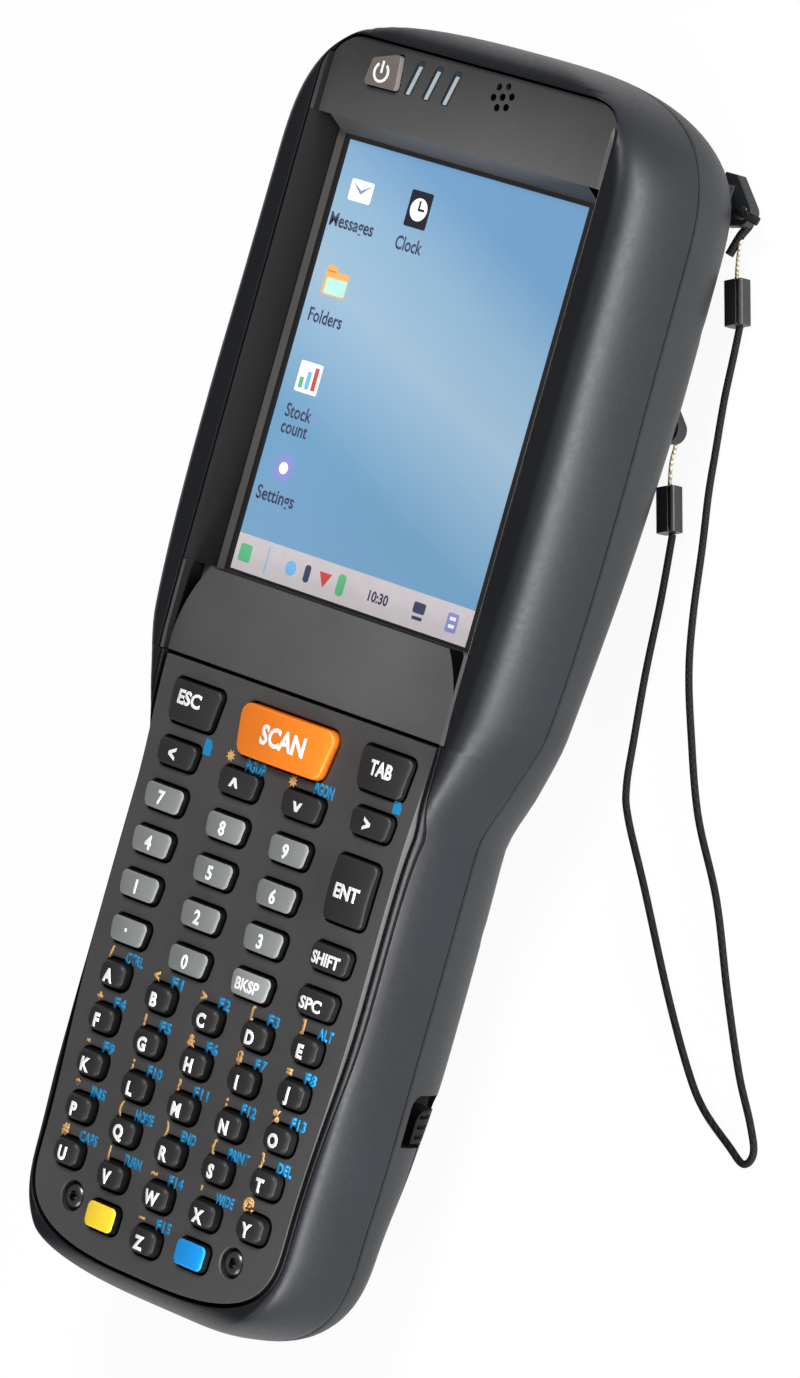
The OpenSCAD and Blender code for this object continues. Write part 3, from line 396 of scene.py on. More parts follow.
def deepen(mat, axis, lo, hi, at_lo, at_hi):
    """Painted shade and sheen: scale a material's colour along one axis, from lo to hi in metres, as light falls
    on a curved face.
    """
    N, L = mat.node_tree.nodes, mat.node_tree.links
    base = N["Principled BSDF"].inputs["Base Color"]
    old = base.links[0].from_socket
    sep = N.new("ShaderNodeSeparateXYZ")
    L.new(place(N), sep.inputs["Vector"])
    span = add(N, "MapRange", {"From Min": lo, "From Max": hi, "To Min": at_lo, "To Max": at_hi})
    L.new(sep.outputs[axis], span.inputs["Value"])
    scale = add(N, "VectorMath", {}, "SCALE")
    L.new(old, scale.inputs[0])
    L.new(span.outputs["Result"], scale.inputs["Scale"])
    L.new(scale.outputs["Vector"], base)


def screen_mat(name):
    """The lit desktop: soft blue, with a pale haze that crosses it from corner to corner."""
    mat, N, L, b = new_material(name)
    at = place(N)
    sep = N.new("ShaderNodeSeparateXYZ")
    L.new(at, sep.inputs["Vector"])
    noise = add(N, "TexNoise", {"Scale": 14.0, "Detail": 1.0})
    L.new(at, noise.inputs["Vector"])
    along = add(N, "Math", {1: 15.4, 2: -0.185}, "MULTIPLY_ADD")
    L.new(sep.outputs["Y"], along.inputs[0])
    across = add(N, "Math", {1: 6.0}, "MULTIPLY_ADD")
    L.new(sep.outputs["X"], across.inputs[0])
    L.new(along.outputs[0], across.inputs[2])
    haze = add(N, "Math", {1: 0.12}, "MULTIPLY_ADD")
    L.new(noise.outputs["Fac"], haze.inputs[0])
    L.new(across.outputs[0], haze.inputs[2])
    ramp = N.new("ShaderNodeValToRGB")
    cr = ramp.color_ramp
    cr.elements[0].position, cr.elements[0].color = 0.0, (0.135, 0.265, 0.42, 1)
    cr.elements[1].position, cr.elements[1].color = 1.0, (0.12, 0.25, 0.42, 1)
    for pos, col in ((0.28, (0.115, 0.25, 0.39, 1)), (0.42, (0.17, 0.30, 0.43, 1)),
                     (0.62, (0.25, 0.365, 0.475, 1)), (0.82, (0.20, 0.33, 0.45, 1))):
        cr.elements.new(pos).color = col
    L.new(haze.outputs[0], ramp.inputs["Fac"])
    L.new(ramp.outputs["Color"], b.inputs["Base Color"])
    L.new(ramp.outputs["Color"], b.inputs["Emission Color"])
    b.inputs["Emission Strength"].default_value = 0.5
    b.inputs["Roughness"].default_value = 0.25
    return mat


def ink(name, rgb, glow=0.0, rough=0.5):
    mat = plastic(name, rgb, rough, vary=0.05, grain=600, bump=0.0, mottle=400)
    if glow:
        b = mat.node_tree.nodes["Principled BSDF"]
        b.inputs["Emission Color"].default_value = tuple(rgb) + (1,)
        b.inputs["Emission Strength"].default_value = glow
    return mat


M = {
    "shell": plastic("shell_charcoal", (0.006, 0.007, 0.0095), 0.44, vary=0.1, grain=1400, bump=0.06, spec=0.28),
    # near-black painted shade for the inner walls of the openings, the groove beside the keypad, and the walls
    # of the bay and the latch's notch
    "shell_recess_shade": plastic("shell_recess_shade", (0.002, 0.002, 0.002), 0.8, vary=0.1, bump=0.02, spec=0.15),
    "back": plastic("shell_back", (0.009, 0.010, 0.0115), 0.5, vary=0.10, grain=1400, bump=0.08, spec=0.3),
    # black plastic of the pack, made darker still than the shell as painted shade
    "pack": plastic("pack_black", (0.006, 0.006, 0.007), 0.6, vary=0.12, grain=1000, bump=0.2, spec=0.25),
    "bezel": plastic("bezel_grey", (0.088, 0.086, 0.086), 0.5, vary=0.08, grain=1600, bump=0.08),
    "plate": plastic("plate_grey", (0.060, 0.057, 0.057), 0.55, vary=0.10, grain=1500, bump=0.1),
    # near-black painted shade for the walls of the display well and the bezel's left wall
    "bezel_wall_shade": plastic("bezel_wall_shade", (0.006, 0.0052, 0.0055), 0.7, vary=0.08, grain=1600, bump=0.06,
                          spec=0.1),
    "black": plastic("clip_black", (0.008, 0.008, 0.009), 0.4, vary=0.1, bump=0.04),
    "rubber": plastic("seal_rubber", (0.008, 0.008, 0.008), 0.75, vary=0.1, bump=0.05),
    "key_black": key_rubber("key_black", (0.024, 0.022, 0.022), vary=0.12, bump=0.08, spec=0.32),
    "key_letter": key_rubber("key_letter", (0.019, 0.018, 0.018), vary=0.12, bump=0.05, spec=0.3),
    # near-black key sides, and darker orange ones for the scan key: painted shade round the foot of each key
    "key_side": plastic("key_side", (0.003, 0.003, 0.003), 0.8, vary=0.1, bump=0.0, spec=0.15),
    "scan_side_shade": plastic("key_orange_side", (0.55, 0.11, 0.004), 0.6, vary=0.06, bump=0.0, spec=0.2),
    "screw_dark": metal("keypad_screw_dark", (0.16, 0.155, 0.15), 0.3),
    "latch": plastic("latch_black", (0.002, 0.002, 0.002), 0.7, vary=0.1, bump=0.04, spec=0.1),
    # a pale slanted streak printed on each light pipe: a painted highlight
    "pipe_highlight": ink("light_pipe_highlight", (0.42, 0.49, 0.53), 0.0, 0.3),
    "key_grey": key_rubber("key_grey", (0.20, 0.21, 0.21), 0.45, 0.08, 0.08),
    "key_silver": key_rubber("key_silver", (0.27, 0.28, 0.28), 0.4, 0.08),
    "key_orange": key_rubber("key_orange", (0.86, 0.205, 0.010)),
    "key_yellow": key_rubber("key_yellow", (0.94, 0.66, 0.03)),
    "key_blue": key_rubber("key_blue", (0.003, 0.27, 0.70)),
    "key_power": key_rubber("key_power", (0.135, 0.115, 0.105), 0.5, 0.08, 0.1),
    "light": plastic("light_pipe_grey", (0.022, 0.034, 0.048), 0.2, vary=0.1, grain=500, bump=0.0, coat=0.4),
    "white": ink("legend_white", (0.82, 0.82, 0.80)),
    "cream": ink("legend_cream", (0.78, 0.44, 0.15)),
    "label_blue": ink("legend_blue", (0.004, 0.25, 0.54)),
    "steel": metal("screw_steel", (0.45, 0.44, 0.43), 0.35),
    "brass": metal("contact_brass", (0.72, 0.5, 0.2), 0.3),
    "red": plastic("scan_red", (0.10, 0.006, 0.008), 0.12, vary=0.05, bump=0.0, coat=0.5),
    "board": plastic("board_green", (0.02, 0.12, 0.05), 0.4, vary=0.2, grain=400, bump=0.1),
    "grey_metal": metal("engine_grey", (0.25, 0.26, 0.28), 0.4),
    "membrane": plastic("membrane_rubber", (0.09, 0.09, 0.10), 0.7, bump=0.05),
    "loop": braid("loop_fibre", (0.30, 0.26, 0.20)),
    "cord": braid("cord_black", (0.004, 0.004, 0.0045)),
    "screen": screen_mat("display_lit"),
    "border": plastic("display_border", (0.012, 0.012, 0.013), 0.25, vary=0.1, bump=0.0, coat=0.3),
    "border_grey": plastic("display_border_grey", (0.085, 0.08, 0.075), 0.45, vary=0.08, bump=0.0),
}

# ------------------------------------------------------------------ camera
FOCAL, PICTURE_H, SENSOR = 8150.0, 1378.0, 36.0
# directions of the picture in the scene: to its right, down it, and into it
VIEW = [[0.6993, 0.2709, -0.6615], [0.2448, -0.9602, -0.1345], [-0.6716, -0.0679, -0.7378]]
cam_data = bpy.data.cameras.new("camera")
cam = link(bpy.data.objects.new("camera", cam_data))
cam_data.sensor_width = SENSOR
cam_data.lens = FOCAL / PICTURE_H * SENSOR
cam_data.clip_start, cam_data.clip_end = 0.05, 20.0
turn = Matrix((VIEW[0], [-v for v in VIEW[1]], [-v for v in VIEW[2]])).transposed().to_quaternion()
turn.normalize()
cam.rotation_mode = "QUATERNION"
cam.rotation_quaternion = turn
cam.location = (0.7964, 0.0816, 0.8865)
bpy.context.scene.camera = cam

# ------------------------------------------------------------------ tether
# the way of the cord on the floor from clip to clip, with y from the middle of the display
CORD_D, LOOP_D, HITCH_D, CORD_Z = 1.1, 0.6, 1.3, 0.62
TETHER = [(34.15, 22.6), (34.6, 18.2), (35.2, 11.2), (36.3, 3.6), (37.2, -2.4), (38.8, -9.9), (40.6, -19.4),
          (42.7, -27.2), (46.1, -35.2), (51.7, -46.4), (59.3, -56.9), (65.9, -68.8), (72, -79), (76.4, -85),
          (78.5, -88.8), (77.3, -90.8), (73.8, -89.1), (67.5, -85.5), (62.6, -80.8), (55.3, -71.8),
          (46.1, -59.2), (39.4, -50.3), (37.4, -46), (36.3, -39.1), (35, -29.5), (34, -18.8), (32.75, -9.5)]


def spline_points(P, n=8):
    """Catmull-Rom spline through points, with n steps for each stretch."""
    out = []
    for i in range(len(P) - 1):
        a, b, c, d = P[max(i - 1, 0)], P[i], P[i + 1], P[min(i + 2, len(P) - 1)]
        for k in range(n):
            t = k / n
            out.append(tuple(
                0.5 * (2 * b[j] + (c[j] - a[j]) * t + (2 * a[j] - 5 * b[j] + 4 * c[j] - d[j]) * t * t
                       + (3 * b[j] - a[j] - 3 * c[j] + d[j]) * t ** 3) for j in range(len(b))))
    out.append(tuple(P[-1]))
    return out


def line(name, pts, d, mat, res):
    cu = bpy.data.curves.new(name, "CURVE")
    cu.dimensions = "3D"
    sp = cu.splines.new("POLY")
    sp.points.add(len(pts) - 1)
    for p, (x, y, z) in zip(sp.points, pts):
        p.co = (x * MM, y * MM, z * MM, 1)
    cu.bevel_depth = d / 2 * MM
    cu.bevel_resolution = res
    cu.use_fill_caps = True
    cu.materials.append(mat)
    return link(bpy.data.objects.new(name, cu))


def length(pts):
    return sum(math.dist(a, b) for a, b in zip(pts, pts[1:]))


def from_display(points):
    """A smooth route through points with y from the middle of the display."""
    return spline_points([(x, y + DY, z) for x, y, z in points])


route = from_display([(x, y, CORD_Z) for x, y in TETHER])
tether = wear(line("tether_cord_braid", route, CORD_D, M["cord"], 4), "tether_cord")
UPPER_LOOP = [(30.6, 34.6, 1.5), (31.1, 32.4, 1.7), (31.7, 29.8, 1.7), (32.2, 27.2, 1.4)]
LOWER_LOOP = [(29.1, 4.3, 3), (29.1, 4.1, 1.6), (29.1, 2.8, 1.05), (29.4, 0.4, 1.3), (30.2, -2, 1.5),
              (30.7, -3.8, 1.4)]
HITCH = [(35.2, 36.9, 4.1), (34, 37.2, 4.7), (32.6, 37.5, 4.8), (31.1, 37.5, 4.1), (31.1, 37.5, 2.4),
         (31.05, 37.3, 1.05), (30.8, 36, 0.75), (30.5, 34.2, 1.6), (29.8, 31.2, 2)]
loops = [wear(line(node + "_thread", from_display(P), LOOP_D, M["loop"], 3), node)
         for node, P in (("upper_cord_loop", UPPER_LOOP), ("lower_cord_loop", LOWER_LOOP))]
loops.append(wear(line("upper_cord_hitch", from_display(HITCH), HITCH_D, M["cord"], 4), "upper_cord_loop"))
clips = [from_node(n, M["black"], 0.1) for n in ("upper_cord_clip", "lower_cord_clip")]
tuple(c * MM for c in route[0])
length(route) * MM

# ------------------------------------------------------------------ front shell
OPEN_TOP = PLATE_TOP + 0.15      # where the openings for keypad and display meet


def plate_outline(grow, n=90, y_top=OPEN_TOP):
    """Right half of the outline of the keypad plate, from the foot up."""
    pts = []
    for i in range(n + 1):
        y = PLATE_LOW + (y_top - PLATE_LOW) * (1 - math.cos(math.pi / 2 * i / n))
        pts.append((plate_w(y), y))
    out = []
    for i, (x, y) in enumerate(pts):
        a, b = pts[max(i - 1, 0)], pts[min(i + 1, n)]
        t = Vector((b[0] - a[0], b[1] - a[1])).normalized()
        nrm = Vector((t.y, -t.x)) if i else Vector((0, -1))
        out.append((max(x + nrm.x * grow, 0.0), y + nrm.y * grow if i < n else y_top))
    return out


BEZEL_HALF, BEZEL_R = 29.4, 6.0


def bezel_outline(grow, side=60, corner=24, end=10):
    """Right half of the outline of the display bezel, from the foot up, with the steps of each stretch."""
    top = BEZEL_TOP - BEZEL_R
    pts = [(BEZEL_HALF + grow, OPEN_TOP + (top - OPEN_TOP) * i / side) for i in range(side)]
    for i in range(corner + 1):
        a = math.pi / 2 * i / corner
        rad = BEZEL_R + grow
        pts.append((BEZEL_HALF - BEZEL_R + rad * math.cos(a), top + rad * math.sin(a)))
    x0 = pts[-1][0]
    return pts + [(x0 * (1 - i / end), BEZEL_TOP + grow) for i in range(1, end + 1)]


SPINE = 62.0                    # half of the straight line that the rays across the front start from


def outer_point(x, y):
    """Where the ray from the spine through (x, y) leaves the outline of the body, and its direction."""
    c = Vector((0, min(max(y, -SPINE), SPINE)))
    d = Vector((x, y)) - c
    d.normalize()
    lo, hi = 0.0, 60.0
    for _ in range(40):
        mid = (lo + hi) / 2
        p = c + d * mid
        if abs(p.y) < FORM_END and abs(p.x) < half_w(p.y):
            lo = mid
        else:
            hi = mid
    return c + d * lo, d


SEAM_GAP, LIP = 0.18, 0.33      # dark seam between the shells, and the height of the edge beside it
SIDE_STEPS = 44
BY_PLATE, BY_BEZEL = 0, 1
EDGE_BY_BEZEL = ((0.05, -0.13), (0.14, -0.04), (0.30, 0.0)) + tuple((0.4 + 0.1 * i, 0.0) for i in range(7))


def edge_by_plate(y):
    """Distance and height of the points from the keypad's opening to the flank: an edge and a groove."""
    g = smooth((y - PLATE_LOW - 2) / 9)
    return ((0.04, -0.10), (0.10, -0.03), (0.20, 0.0), (0.36, 0.0), (0.40, -0.05 * g), (0.43, -0.5 * g),
            (0.54, -0.5 * g), (0.57, -0.05 * g), (0.66, -0.01 * g), (1.0, 0.0))


def front_shell():
    """Columns of points from the openings outwards: inner wall, edge, flank and the lip at the seam."""
    right = [(x, y, BY_PLATE) for x, y in plate_outline(0.5)]
    right += [(x, y, BY_BEZEL) for x, y in bezel_outline(0.36)]
    loop = right + [(-x, y, k) for x, y, k in reversed(right[1:-1])]
    rings = []
    for x, y, k in loop:
        foot, d = outer_point(x, y)
        p0 = Vector((x, y))
        start, rest = p0 + d, (foot - p0).length - 1
        col = [(x, y, SEAM + SEAM_GAP), (x, y, 29.0 if k == BY_PLATE else 27.4), (x, y, front_z(x, y) - 0.30)]
        for dd, dz in edge_by_plate(y) if k == BY_PLATE else EDGE_BY_BEZEL:
            p = p0 + d * dd
            col.append((p.x, p.y, front_z(p.x, p.y) + dz))
        for i in range(1, SIDE_STEPS):
            p = start + d * (rest * (1 - (1 - i / SIDE_STEPS) ** 2))
            col.append((p.x, p.y, max(front_z(p.x, p.y), SEAM + LIP + 0.02)))
        p = start + d * rest
        col.append((p.x, p.y, SEAM + LIP))
        p = start + d * (rest - 0.25)
        col.append((p.x, p.y, SEAM + SEAM_GAP / 2))
        rings.append(col)
    n, m = len(rings), len(rings[0])
    verts = [p for r in rings for p in r]
    faces, idx = [], []
    for i in range(n):
        j = (i + 1) % n
        for k in range(m):
            after = (k + 1) % m
            faces.append((i * m + k, j * m + k, j * m + after, i * m + after))
            # the inner walls of the openings and the faces of the groove take the near-black second material:
            # painted shade in the gap and painted shadow in the groove
            groove = loop[i][2] == BY_PLATE and k in (7, 8, 9) and loop[i][1] > PLATE_LOW + 4
            idx.append(1 if k in (0, 1, 2) or groove else 0)
    return new_mesh("front_shell", verts, faces, [M["shell"], M["shell_recess_shade"]], 50, idx)


wear(front_shell(), "front_housing", "shell_charcoal")


# ------------------------------------------------------------------ rear shell and battery pack
REAR_STEPS, MID_STEPS, END_RUN = 26, 70, 25


def stations():
    """Places of the rings along the back, closer together at its ends."""
    up = [FORM_END - END_RUN + END_RUN * min(math.sin(math.pi / 2 * i / REAR_STEPS) ** (2 / 2.6), 0.9997)
          for i in range(REAR_STEPS + 1)]
    middle = [up[0] - 2 * up[0] * i / MID_STEPS for i in range(MID_STEPS - 1, 0, -1)]
    return [-y for y in reversed(up)] + middle + up


def rear_form(name, mats, lip):
    """The back from side to side, with an inset edge at the seam if it has a lip."""
    rings = []
    for y in stations():
        w, h = max(half_w(y), 0.02), max(back_h(y), 0.02)
        e = min(back_edge(y), w * 0.98)
        right = []
        for i in range(REAR_STEPS + 1):
            a = math.pi / 2 * i / REAR_STEPS
            right.append((w - e + e * math.cos(a), SEAM - h * math.sin(a)))
        if lip:
            right = [(x, min(z, SEAM - min(LIP, h * 0.5))) for x, z in right]
            right.insert(0, (max(w - 0.25, 0.01), SEAM - min(0.1, h * 0.3)))
        rings.append([(x, y, z) for x, z in right] + [(-x, y, z) for x, z in reversed(right)])
    return rings_mesh(name, rings, mats, angle=40)


def dark(tool):
    """A cutting tool that leaves walls of painted shade: they take the second, near-black material of what it
    cuts.
    """
    tool.data.materials.append(M["shell_recess_shade"])
    tool.data.materials.append(M["shell_recess_shade"])
    for p in tool.data.polygons:
        p.material_index = 1
    return tool


SLIP, PACK_HALF = 0.3, 18       # gap round the battery pack, and half width of its upper part
PACK_TOP, PACK_LOW, FLARE, PACK_SEAM = PLATE_TOP - 9.8, 14 - END, 35 - END, 11.2
BELOW, ASIDE, BEYOND = -3, 45, -105     # clear of the body under its back, at its sides and past its base
SHELL_SCREWS = ((31.4, DY + 19.6), (31, DY - 22.4), (24, PLATE_TOP - 25.8))
ANCHORS = ((28.6, DY + 38.6), (26.6, DY + 5.9))


def tee(grow, flare):
    """Outline of the pack: narrow above, and as wide as the body below the flare."""
    a, t = PACK_HALF + grow, PACK_TOP + grow
    return [(a, t), (-a, t), (-a, flare), (-ASIDE, flare), (-ASIDE, BEYOND), (ASIDE, BEYOND), (ASIDE, flare),
            (a, flare)]


def yz_prism(outline, x0, x1):
    """Solid between two planes across X, over points (y, z)."""
    ob = prism(outline, x0, x1)
    ob.data.transform(Matrix(((0, 0, 1, 0), (1, 0, 0, 0), (0, 1, 0, 0), (0, 0, 0, 1))))
    recalc(ob.data)
    return ob


rear = rear_form("rear_shell", [M["back"], M["shell_recess_shade"]], True)
pack = rear_form("battery_shell", [M["pack"], M["shell_recess_shade"]], False)
# the bay, open to the back, with walls of painted shade, and the pack in it
cut(rear, dark(prism(tee(SLIP, FLARE + SLIP), BELOW, PACK_SEAM + 0.4)))
cut(rear, block(-PACK_HALF - SLIP, PACK_HALF + SLIP, PACK_LOW - SLIP, PACK_TOP + SLIP, 8, 13.9))
cut(pack, prism(tee(0, FLARE), BELOW, PACK_SEAM - 0.15), "INTERSECT")
# the latch's notch in the housing, with walls of painted shade, and its catch in the pack
notch = [(FLARE - 0.3, 6.2), (FLARE + 5.6, 6.2)]
notch += arc(FLARE + 5.6, 8.2, 2, range(-90, 1, 15)) + arc(FLARE + 5.6, 15.2, 2, range(0, 91, 15))
notch += [(FLARE - 0.3, 17.2)]
cut(rear, dark(yz_prism(notch, 22.3, ASIDE)))
cut(pack, block(22.3, 25.3, FLARE - 1.7, FLARE + 1, 8.7, 14))
# recesses of the scan window and of the dock connector
cut(rear, yz_prism([(END - 8.3, 4.25), (END + 2, 4.25), (END + 2, 15.15), (END - 2.7, 15.15)], -15.15, 15.15))
cut(rear, block(-9.15, 9.15, BEYOND, 8 - END, 12.5, 16.05))
for sx, sy in SHELL_SCREWS:
    for s in (-1, 1):
        cut(rear, prism(circle(2.1, 48, s * sx, sy), BELOW, 12))
for ax, ay in ANCHORS:
    lug = [(ax - 2.55, ay + 4.15), (ax - 2.55, ay - 3.75), (ax + 0.3, ay - 3.75)]
    lug += arc(ax + 2.5, ay - 1.1, 2.05, range(-70, 48, 13)) + [(ax + 0.3, ay + 4.15)]
    cut(rear, prism(lug, BELOW, 3.75))
    cut(rear, block(ax - 3.35, ax + 0.15, ay - 2.45, ay + 2.45, BELOW, 8))
for ob, node, slot in ((rear, "rear_housing", "shell_back"), (pack, "battery_pack", "pack_black")):
    sharpen(ob.data, 40)
    wear(ob, node, slot)

# ------------------------------------------------------------------ keypad plate
FIRST_GAP, SMILE, COL_IN, COL_OUT = 7.6, 1.1, 6.6, 20.0
ROW_Y = PLATE_TOP - 7.2
PITCH = (ROW_Y - FIRST_GAP - PLATE_LOW - 5.6) / 10


def row(i):
    """Place of a row of keys, counted down from the scan key's row."""
    return ROW_Y if i == 0 else ROW_Y - FIRST_GAP - (i - 1) * PITCH


def spot(i, x):
    """Middle of a key in row i: the rows curve up towards the sides."""
    return (x, row(i) + SMILE * (x / COL_OUT) ** 2)


DW, DL = 8.2, 3.8
KEY_R, SCAN_R, KEY_SLOT = 1.0, 1.7, 0.42


def plain(i, x, slot="key_grey"):
    """A key of the usual size in row i."""
    return spot(i, x), DW, DL, 0.5, slot


# middle, width, length, narrowing of the foot and material
KEYS = {
    "escape_key": (spot(0, -COL_OUT + 0.6), 10.4, 6.2, 0.7, "key_black"),
    "tab_key": (spot(0, COL_OUT), 10.4, 6.2, 0.7, "key_black"),
    "scan_key": ((0, ROW_Y + 0.5), 20, 7.6, 1.4, "key_orange"),
    "left_key": plain(1, -COL_OUT, "key_black"),
    "up_key": plain(1, -COL_IN, "key_black"),
    "down_key": plain(1, COL_IN, "key_black"),
    "right_key": plain(1, COL_OUT + 0.4, "key_black"),
    "key_7": plain(2, -COL_OUT), "key_8": plain(2, -COL_IN), "key_9": plain(2, COL_IN),
    "key_4": plain(3, -COL_OUT), "key_5": plain(3, -COL_IN), "key_6": plain(3, COL_IN),
    "enter_key": (spot(2.5, COL_OUT), 8.4, 9.6, 0.2, "key_black"),
    "key_1": plain(4, -COL_OUT), "key_2": plain(4, -COL_IN), "key_3": plain(4, COL_IN),
    "shift_key": (spot(4, COL_OUT), 7.9, DL, 0.3, "key_black"),
    "point_key": (spot(5, -COL_OUT + 0.4), DW - 0.6, DL, 0.5, "key_grey"),
    "key_0": plain(5, -COL_IN),
    "backspace_key": plain(5, COL_IN, "key_silver"),
    "space_key": (spot(5, COL_OUT - 0.3), 7.9, DL, 0.5, "key_black"),
    "yellow_key": ((-9.5, row(11) + 0.8), 6.1, 3.9, 0.1, "key_yellow"),
    "blue_key": ((9.5, row(11) + 0.8), 6.1, 3.9, 0.1, "key_blue"),
}
LETTERS = ["ABCDE", "FGHIJ", "KLMNO", "PQRST", "UVWXY", "Z"]
LETTER_NODES = ["letters_a_to_e", "letters_f_to_j", "letters_k_to_o", "letters_p_to_t", "letters_u_to_y",
                "letter_z"]
LW, LL, LETTER_LEAN, LETTER_R = 5.6, 4.0, 0.1, 1.4
SCREW_X, SCREW_Y, SCREW_HOLE = 16.9, PLATE_LOW + 7.5, 2.3


def letter_spot(i, c):
    """Middle of letter key c in row i of the letters."""
    k = c - 2 if i < 5 else 0
    return spot(6 + i, k * (10.1 - 0.09 * i))


def key_shape(w, l, lean, r, seg=6):
    """Outline of a key, narrower at its foot by the lean on each side."""
    foot, top = w / 2 - lean, w / 2
    corners = [(-foot, -l / 2), (foot, -l / 2), (top, l / 2), (-top, l / 2)]
    return with_sides(corner_arcs(corners, r, seg), seg)


def key_radius(key):
    return SCAN_R if key == "scan_key" else KEY_R


def key_hole(c, w, l, lean, r):
    """The hole for a key, before its eased edge takes its share."""
    return [(c[0] + x, c[1] + y) for x, y in ring_at(key_shape(w, l, lean, r), r + KEY_SLOT + EDGE)]


def flat_plate(name, outline, holes, z0, z1, edge, mat):
    """A plate with holes and eased edges, filled by a planar curve."""
    cu = bpy.data.curves.new(name, "CURVE")
    cu.dimensions, cu.fill_mode = "2D", "BOTH"
    for pts in [outline] + holes:
        sp = cu.splines.new("POLY")
        sp.points.add(len(pts) - 1)
        for p, (x, y) in zip(sp.points, pts):
            p.co = (x * MM, y * MM, 0, 1)
        sp.use_cyclic_u = True
    cu.extrude = ((z1 - z0) / 2 - edge) * MM
    cu.bevel_depth = edge * MM
    cu.bevel_resolution = 2
    ob = link(bpy.data.objects.new(name, cu))
    me = evaluated_mesh(ob)
    bpy.data.objects.remove(ob)
    me.transform(Matrix.Translation((0, 0, (z0 + z1) / 2 * MM)))
    bm = bmesh.new()
    bm.from_mesh(me)
    bmesh.ops.remove_doubles(bm, verts=bm.verts, dist=2e-6)
    bmesh.ops.recalc_face_normals(bm, faces=bm.faces)
    bm.to_mesh(me)
    bm.free()
    me.materials.clear()
    me.materials.append(mat)
    sharpen(me, 12)
    return link(bpy.data.objects.new(name, me))


EDGE = 0.12
half = plate_outline(-EDGE - 0.12, 70, PLATE_TOP - EDGE - 0.3)
outline = half + [(-x, y) for x, y in reversed(half[1:])]
holes = [key_hole(c, w, l, lean, key_radius(k)) for k, (c, w, l, lean, _) in KEYS.items()]
holes += [key_hole(letter_spot(i, c), LW, LL, LETTER_LEAN, LETTER_R)
          for i, letters in enumerate(LETTERS) for c in range(len(letters))]
holes += [circle(SCREW_HOLE + EDGE, 36, s * SCREW_X, SCREW_Y) for s in (-1, 1)]
plate = flat_plate("keypad_plate", outline, holes, PLATE_BACK, RIM, EDGE, M["plate"])
wear(plate, "keypad_bezel", "plate_grey")

# ------------------------------------------------------------------ keys
FLANGE, KEY_FOOT, FLANGE_TOP, KEY_WALL = 0.55, 28.9, PLATE_BACK - 0.02, 31.2


def key_top(rise, rx, ry):
    """Height of a crowned top, from its highest point and its radii across and along."""
    return lambda x, y: RIM + rise - x * x / (2 * rx) - y * y / (2 * ry)


def over(c, height):
    """A height function moved from the middle of its key to the key's place."""
    return lambda x, y: height(x - c[0], y - c[1])


def key_cap(name, c, arcs, r, height, mats, edge, wall=0.0):
    """A key: flange under the plate, upright wall, rounded shoulder and crowned top."""
    sides = (r + FLANGE, KEY_FOOT), (r + FLANGE, FLANGE_TOP), (r, FLANGE_TOP), (r, KEY_WALL)
    rings = [[(c[0] + x, c[1] + y, z) for x, y in ring_at(arcs, radius)] for radius, z in sides]
    bends = [math.pi / 2 * i / 5 for i in range(6)]
    top = [(r - wall - edge * (1 - math.cos(a)), edge * (1 - math.sin(a)), 1.0) for a in bends]
    top += [(r - wall - edge, 0.0, scale) for scale in (0.85, 0.7, 0.5, 0.3, 0.12)]
    for radius, drop, scale in top:
        pts = [(x * scale, y * scale) for x, y in ring_at(arcs, radius)]
        rings.append([(c[0] + x, c[1] + y, height(x, y) - drop) for x, y in pts])
    # the flange, the upright wall and the lower shoulder take the second material, as painted shade; the top
    # keeps the first
    index = [1 if k < 6 else 0 for k in range(len(rings) - 1) for _ in rings[0]] + [1, 0]
    return rings_mesh(name, rings, mats, angle=50, index=index)


CAPITAL, SQUEEZE, MIDDLE = 0.74, 0.9, 0.36      # of the font: height, width wanted, middle of a capital


def text_mesh(text, h, w=None, bold=0.03):
    """Flat text of a given capital height, and width if given, centred on the origin (mm)."""
    cu = bpy.data.curves.new("t", "FONT")
    cu.body, cu.size, cu.offset = text, 1.0, bold
    cu.resolution_u = 3
    ob = link(bpy.data.objects.new("t", cu))
    me = evaluated_mesh(ob)
    bpy.data.objects.remove(ob)
    xs = [v.co.x for v in me.vertices]
    ys = [v.co.y for v in me.vertices]
    ky = h * MM / CAPITAL
    kx = w * MM / (max(xs) - min(xs)) if w else ky * SQUEEZE
    mid = MIDDLE if min(ys) > -0.05 and max(ys) > 0.5 else (min(ys) + max(ys)) / 2
    me.transform(Matrix.Diagonal((kx, ky, 1, 1)) @ Matrix.Translation((-(min(xs) + max(xs)) / 2, -mid, 0)))
    return me


def outline_mesh(pts):
    me = bpy.data.meshes.new("o")
    me.from_pydata([(x * MM, y * MM, 0) for x, y in pts], [], [tuple(range(len(pts)))])
    return me


def refine(part):
    """Cut the long edges of a flat part, so that it can follow a curved top."""
    bmesh.ops.triangulate(part, faces=part.faces)
    for _ in range(3):
        rough = [e for e in part.edges if e.calc_length() > 0.35 * MM]
        if not rough:
            break
        bmesh.ops.subdivide_edges(part, edges=rough, cuts=1)
        bmesh.ops.triangulate(part, faces=part.faces)


def drop_twins(part):
    """Remove faces that lie on the same points as another face."""
    part.verts.index_update()
    seen = set()
    for f in list(part.faces):
        key = frozenset(v.index for v in f.verts)
        if key in seen:
            part.faces.remove(f)
        else:
            seen.add(key)


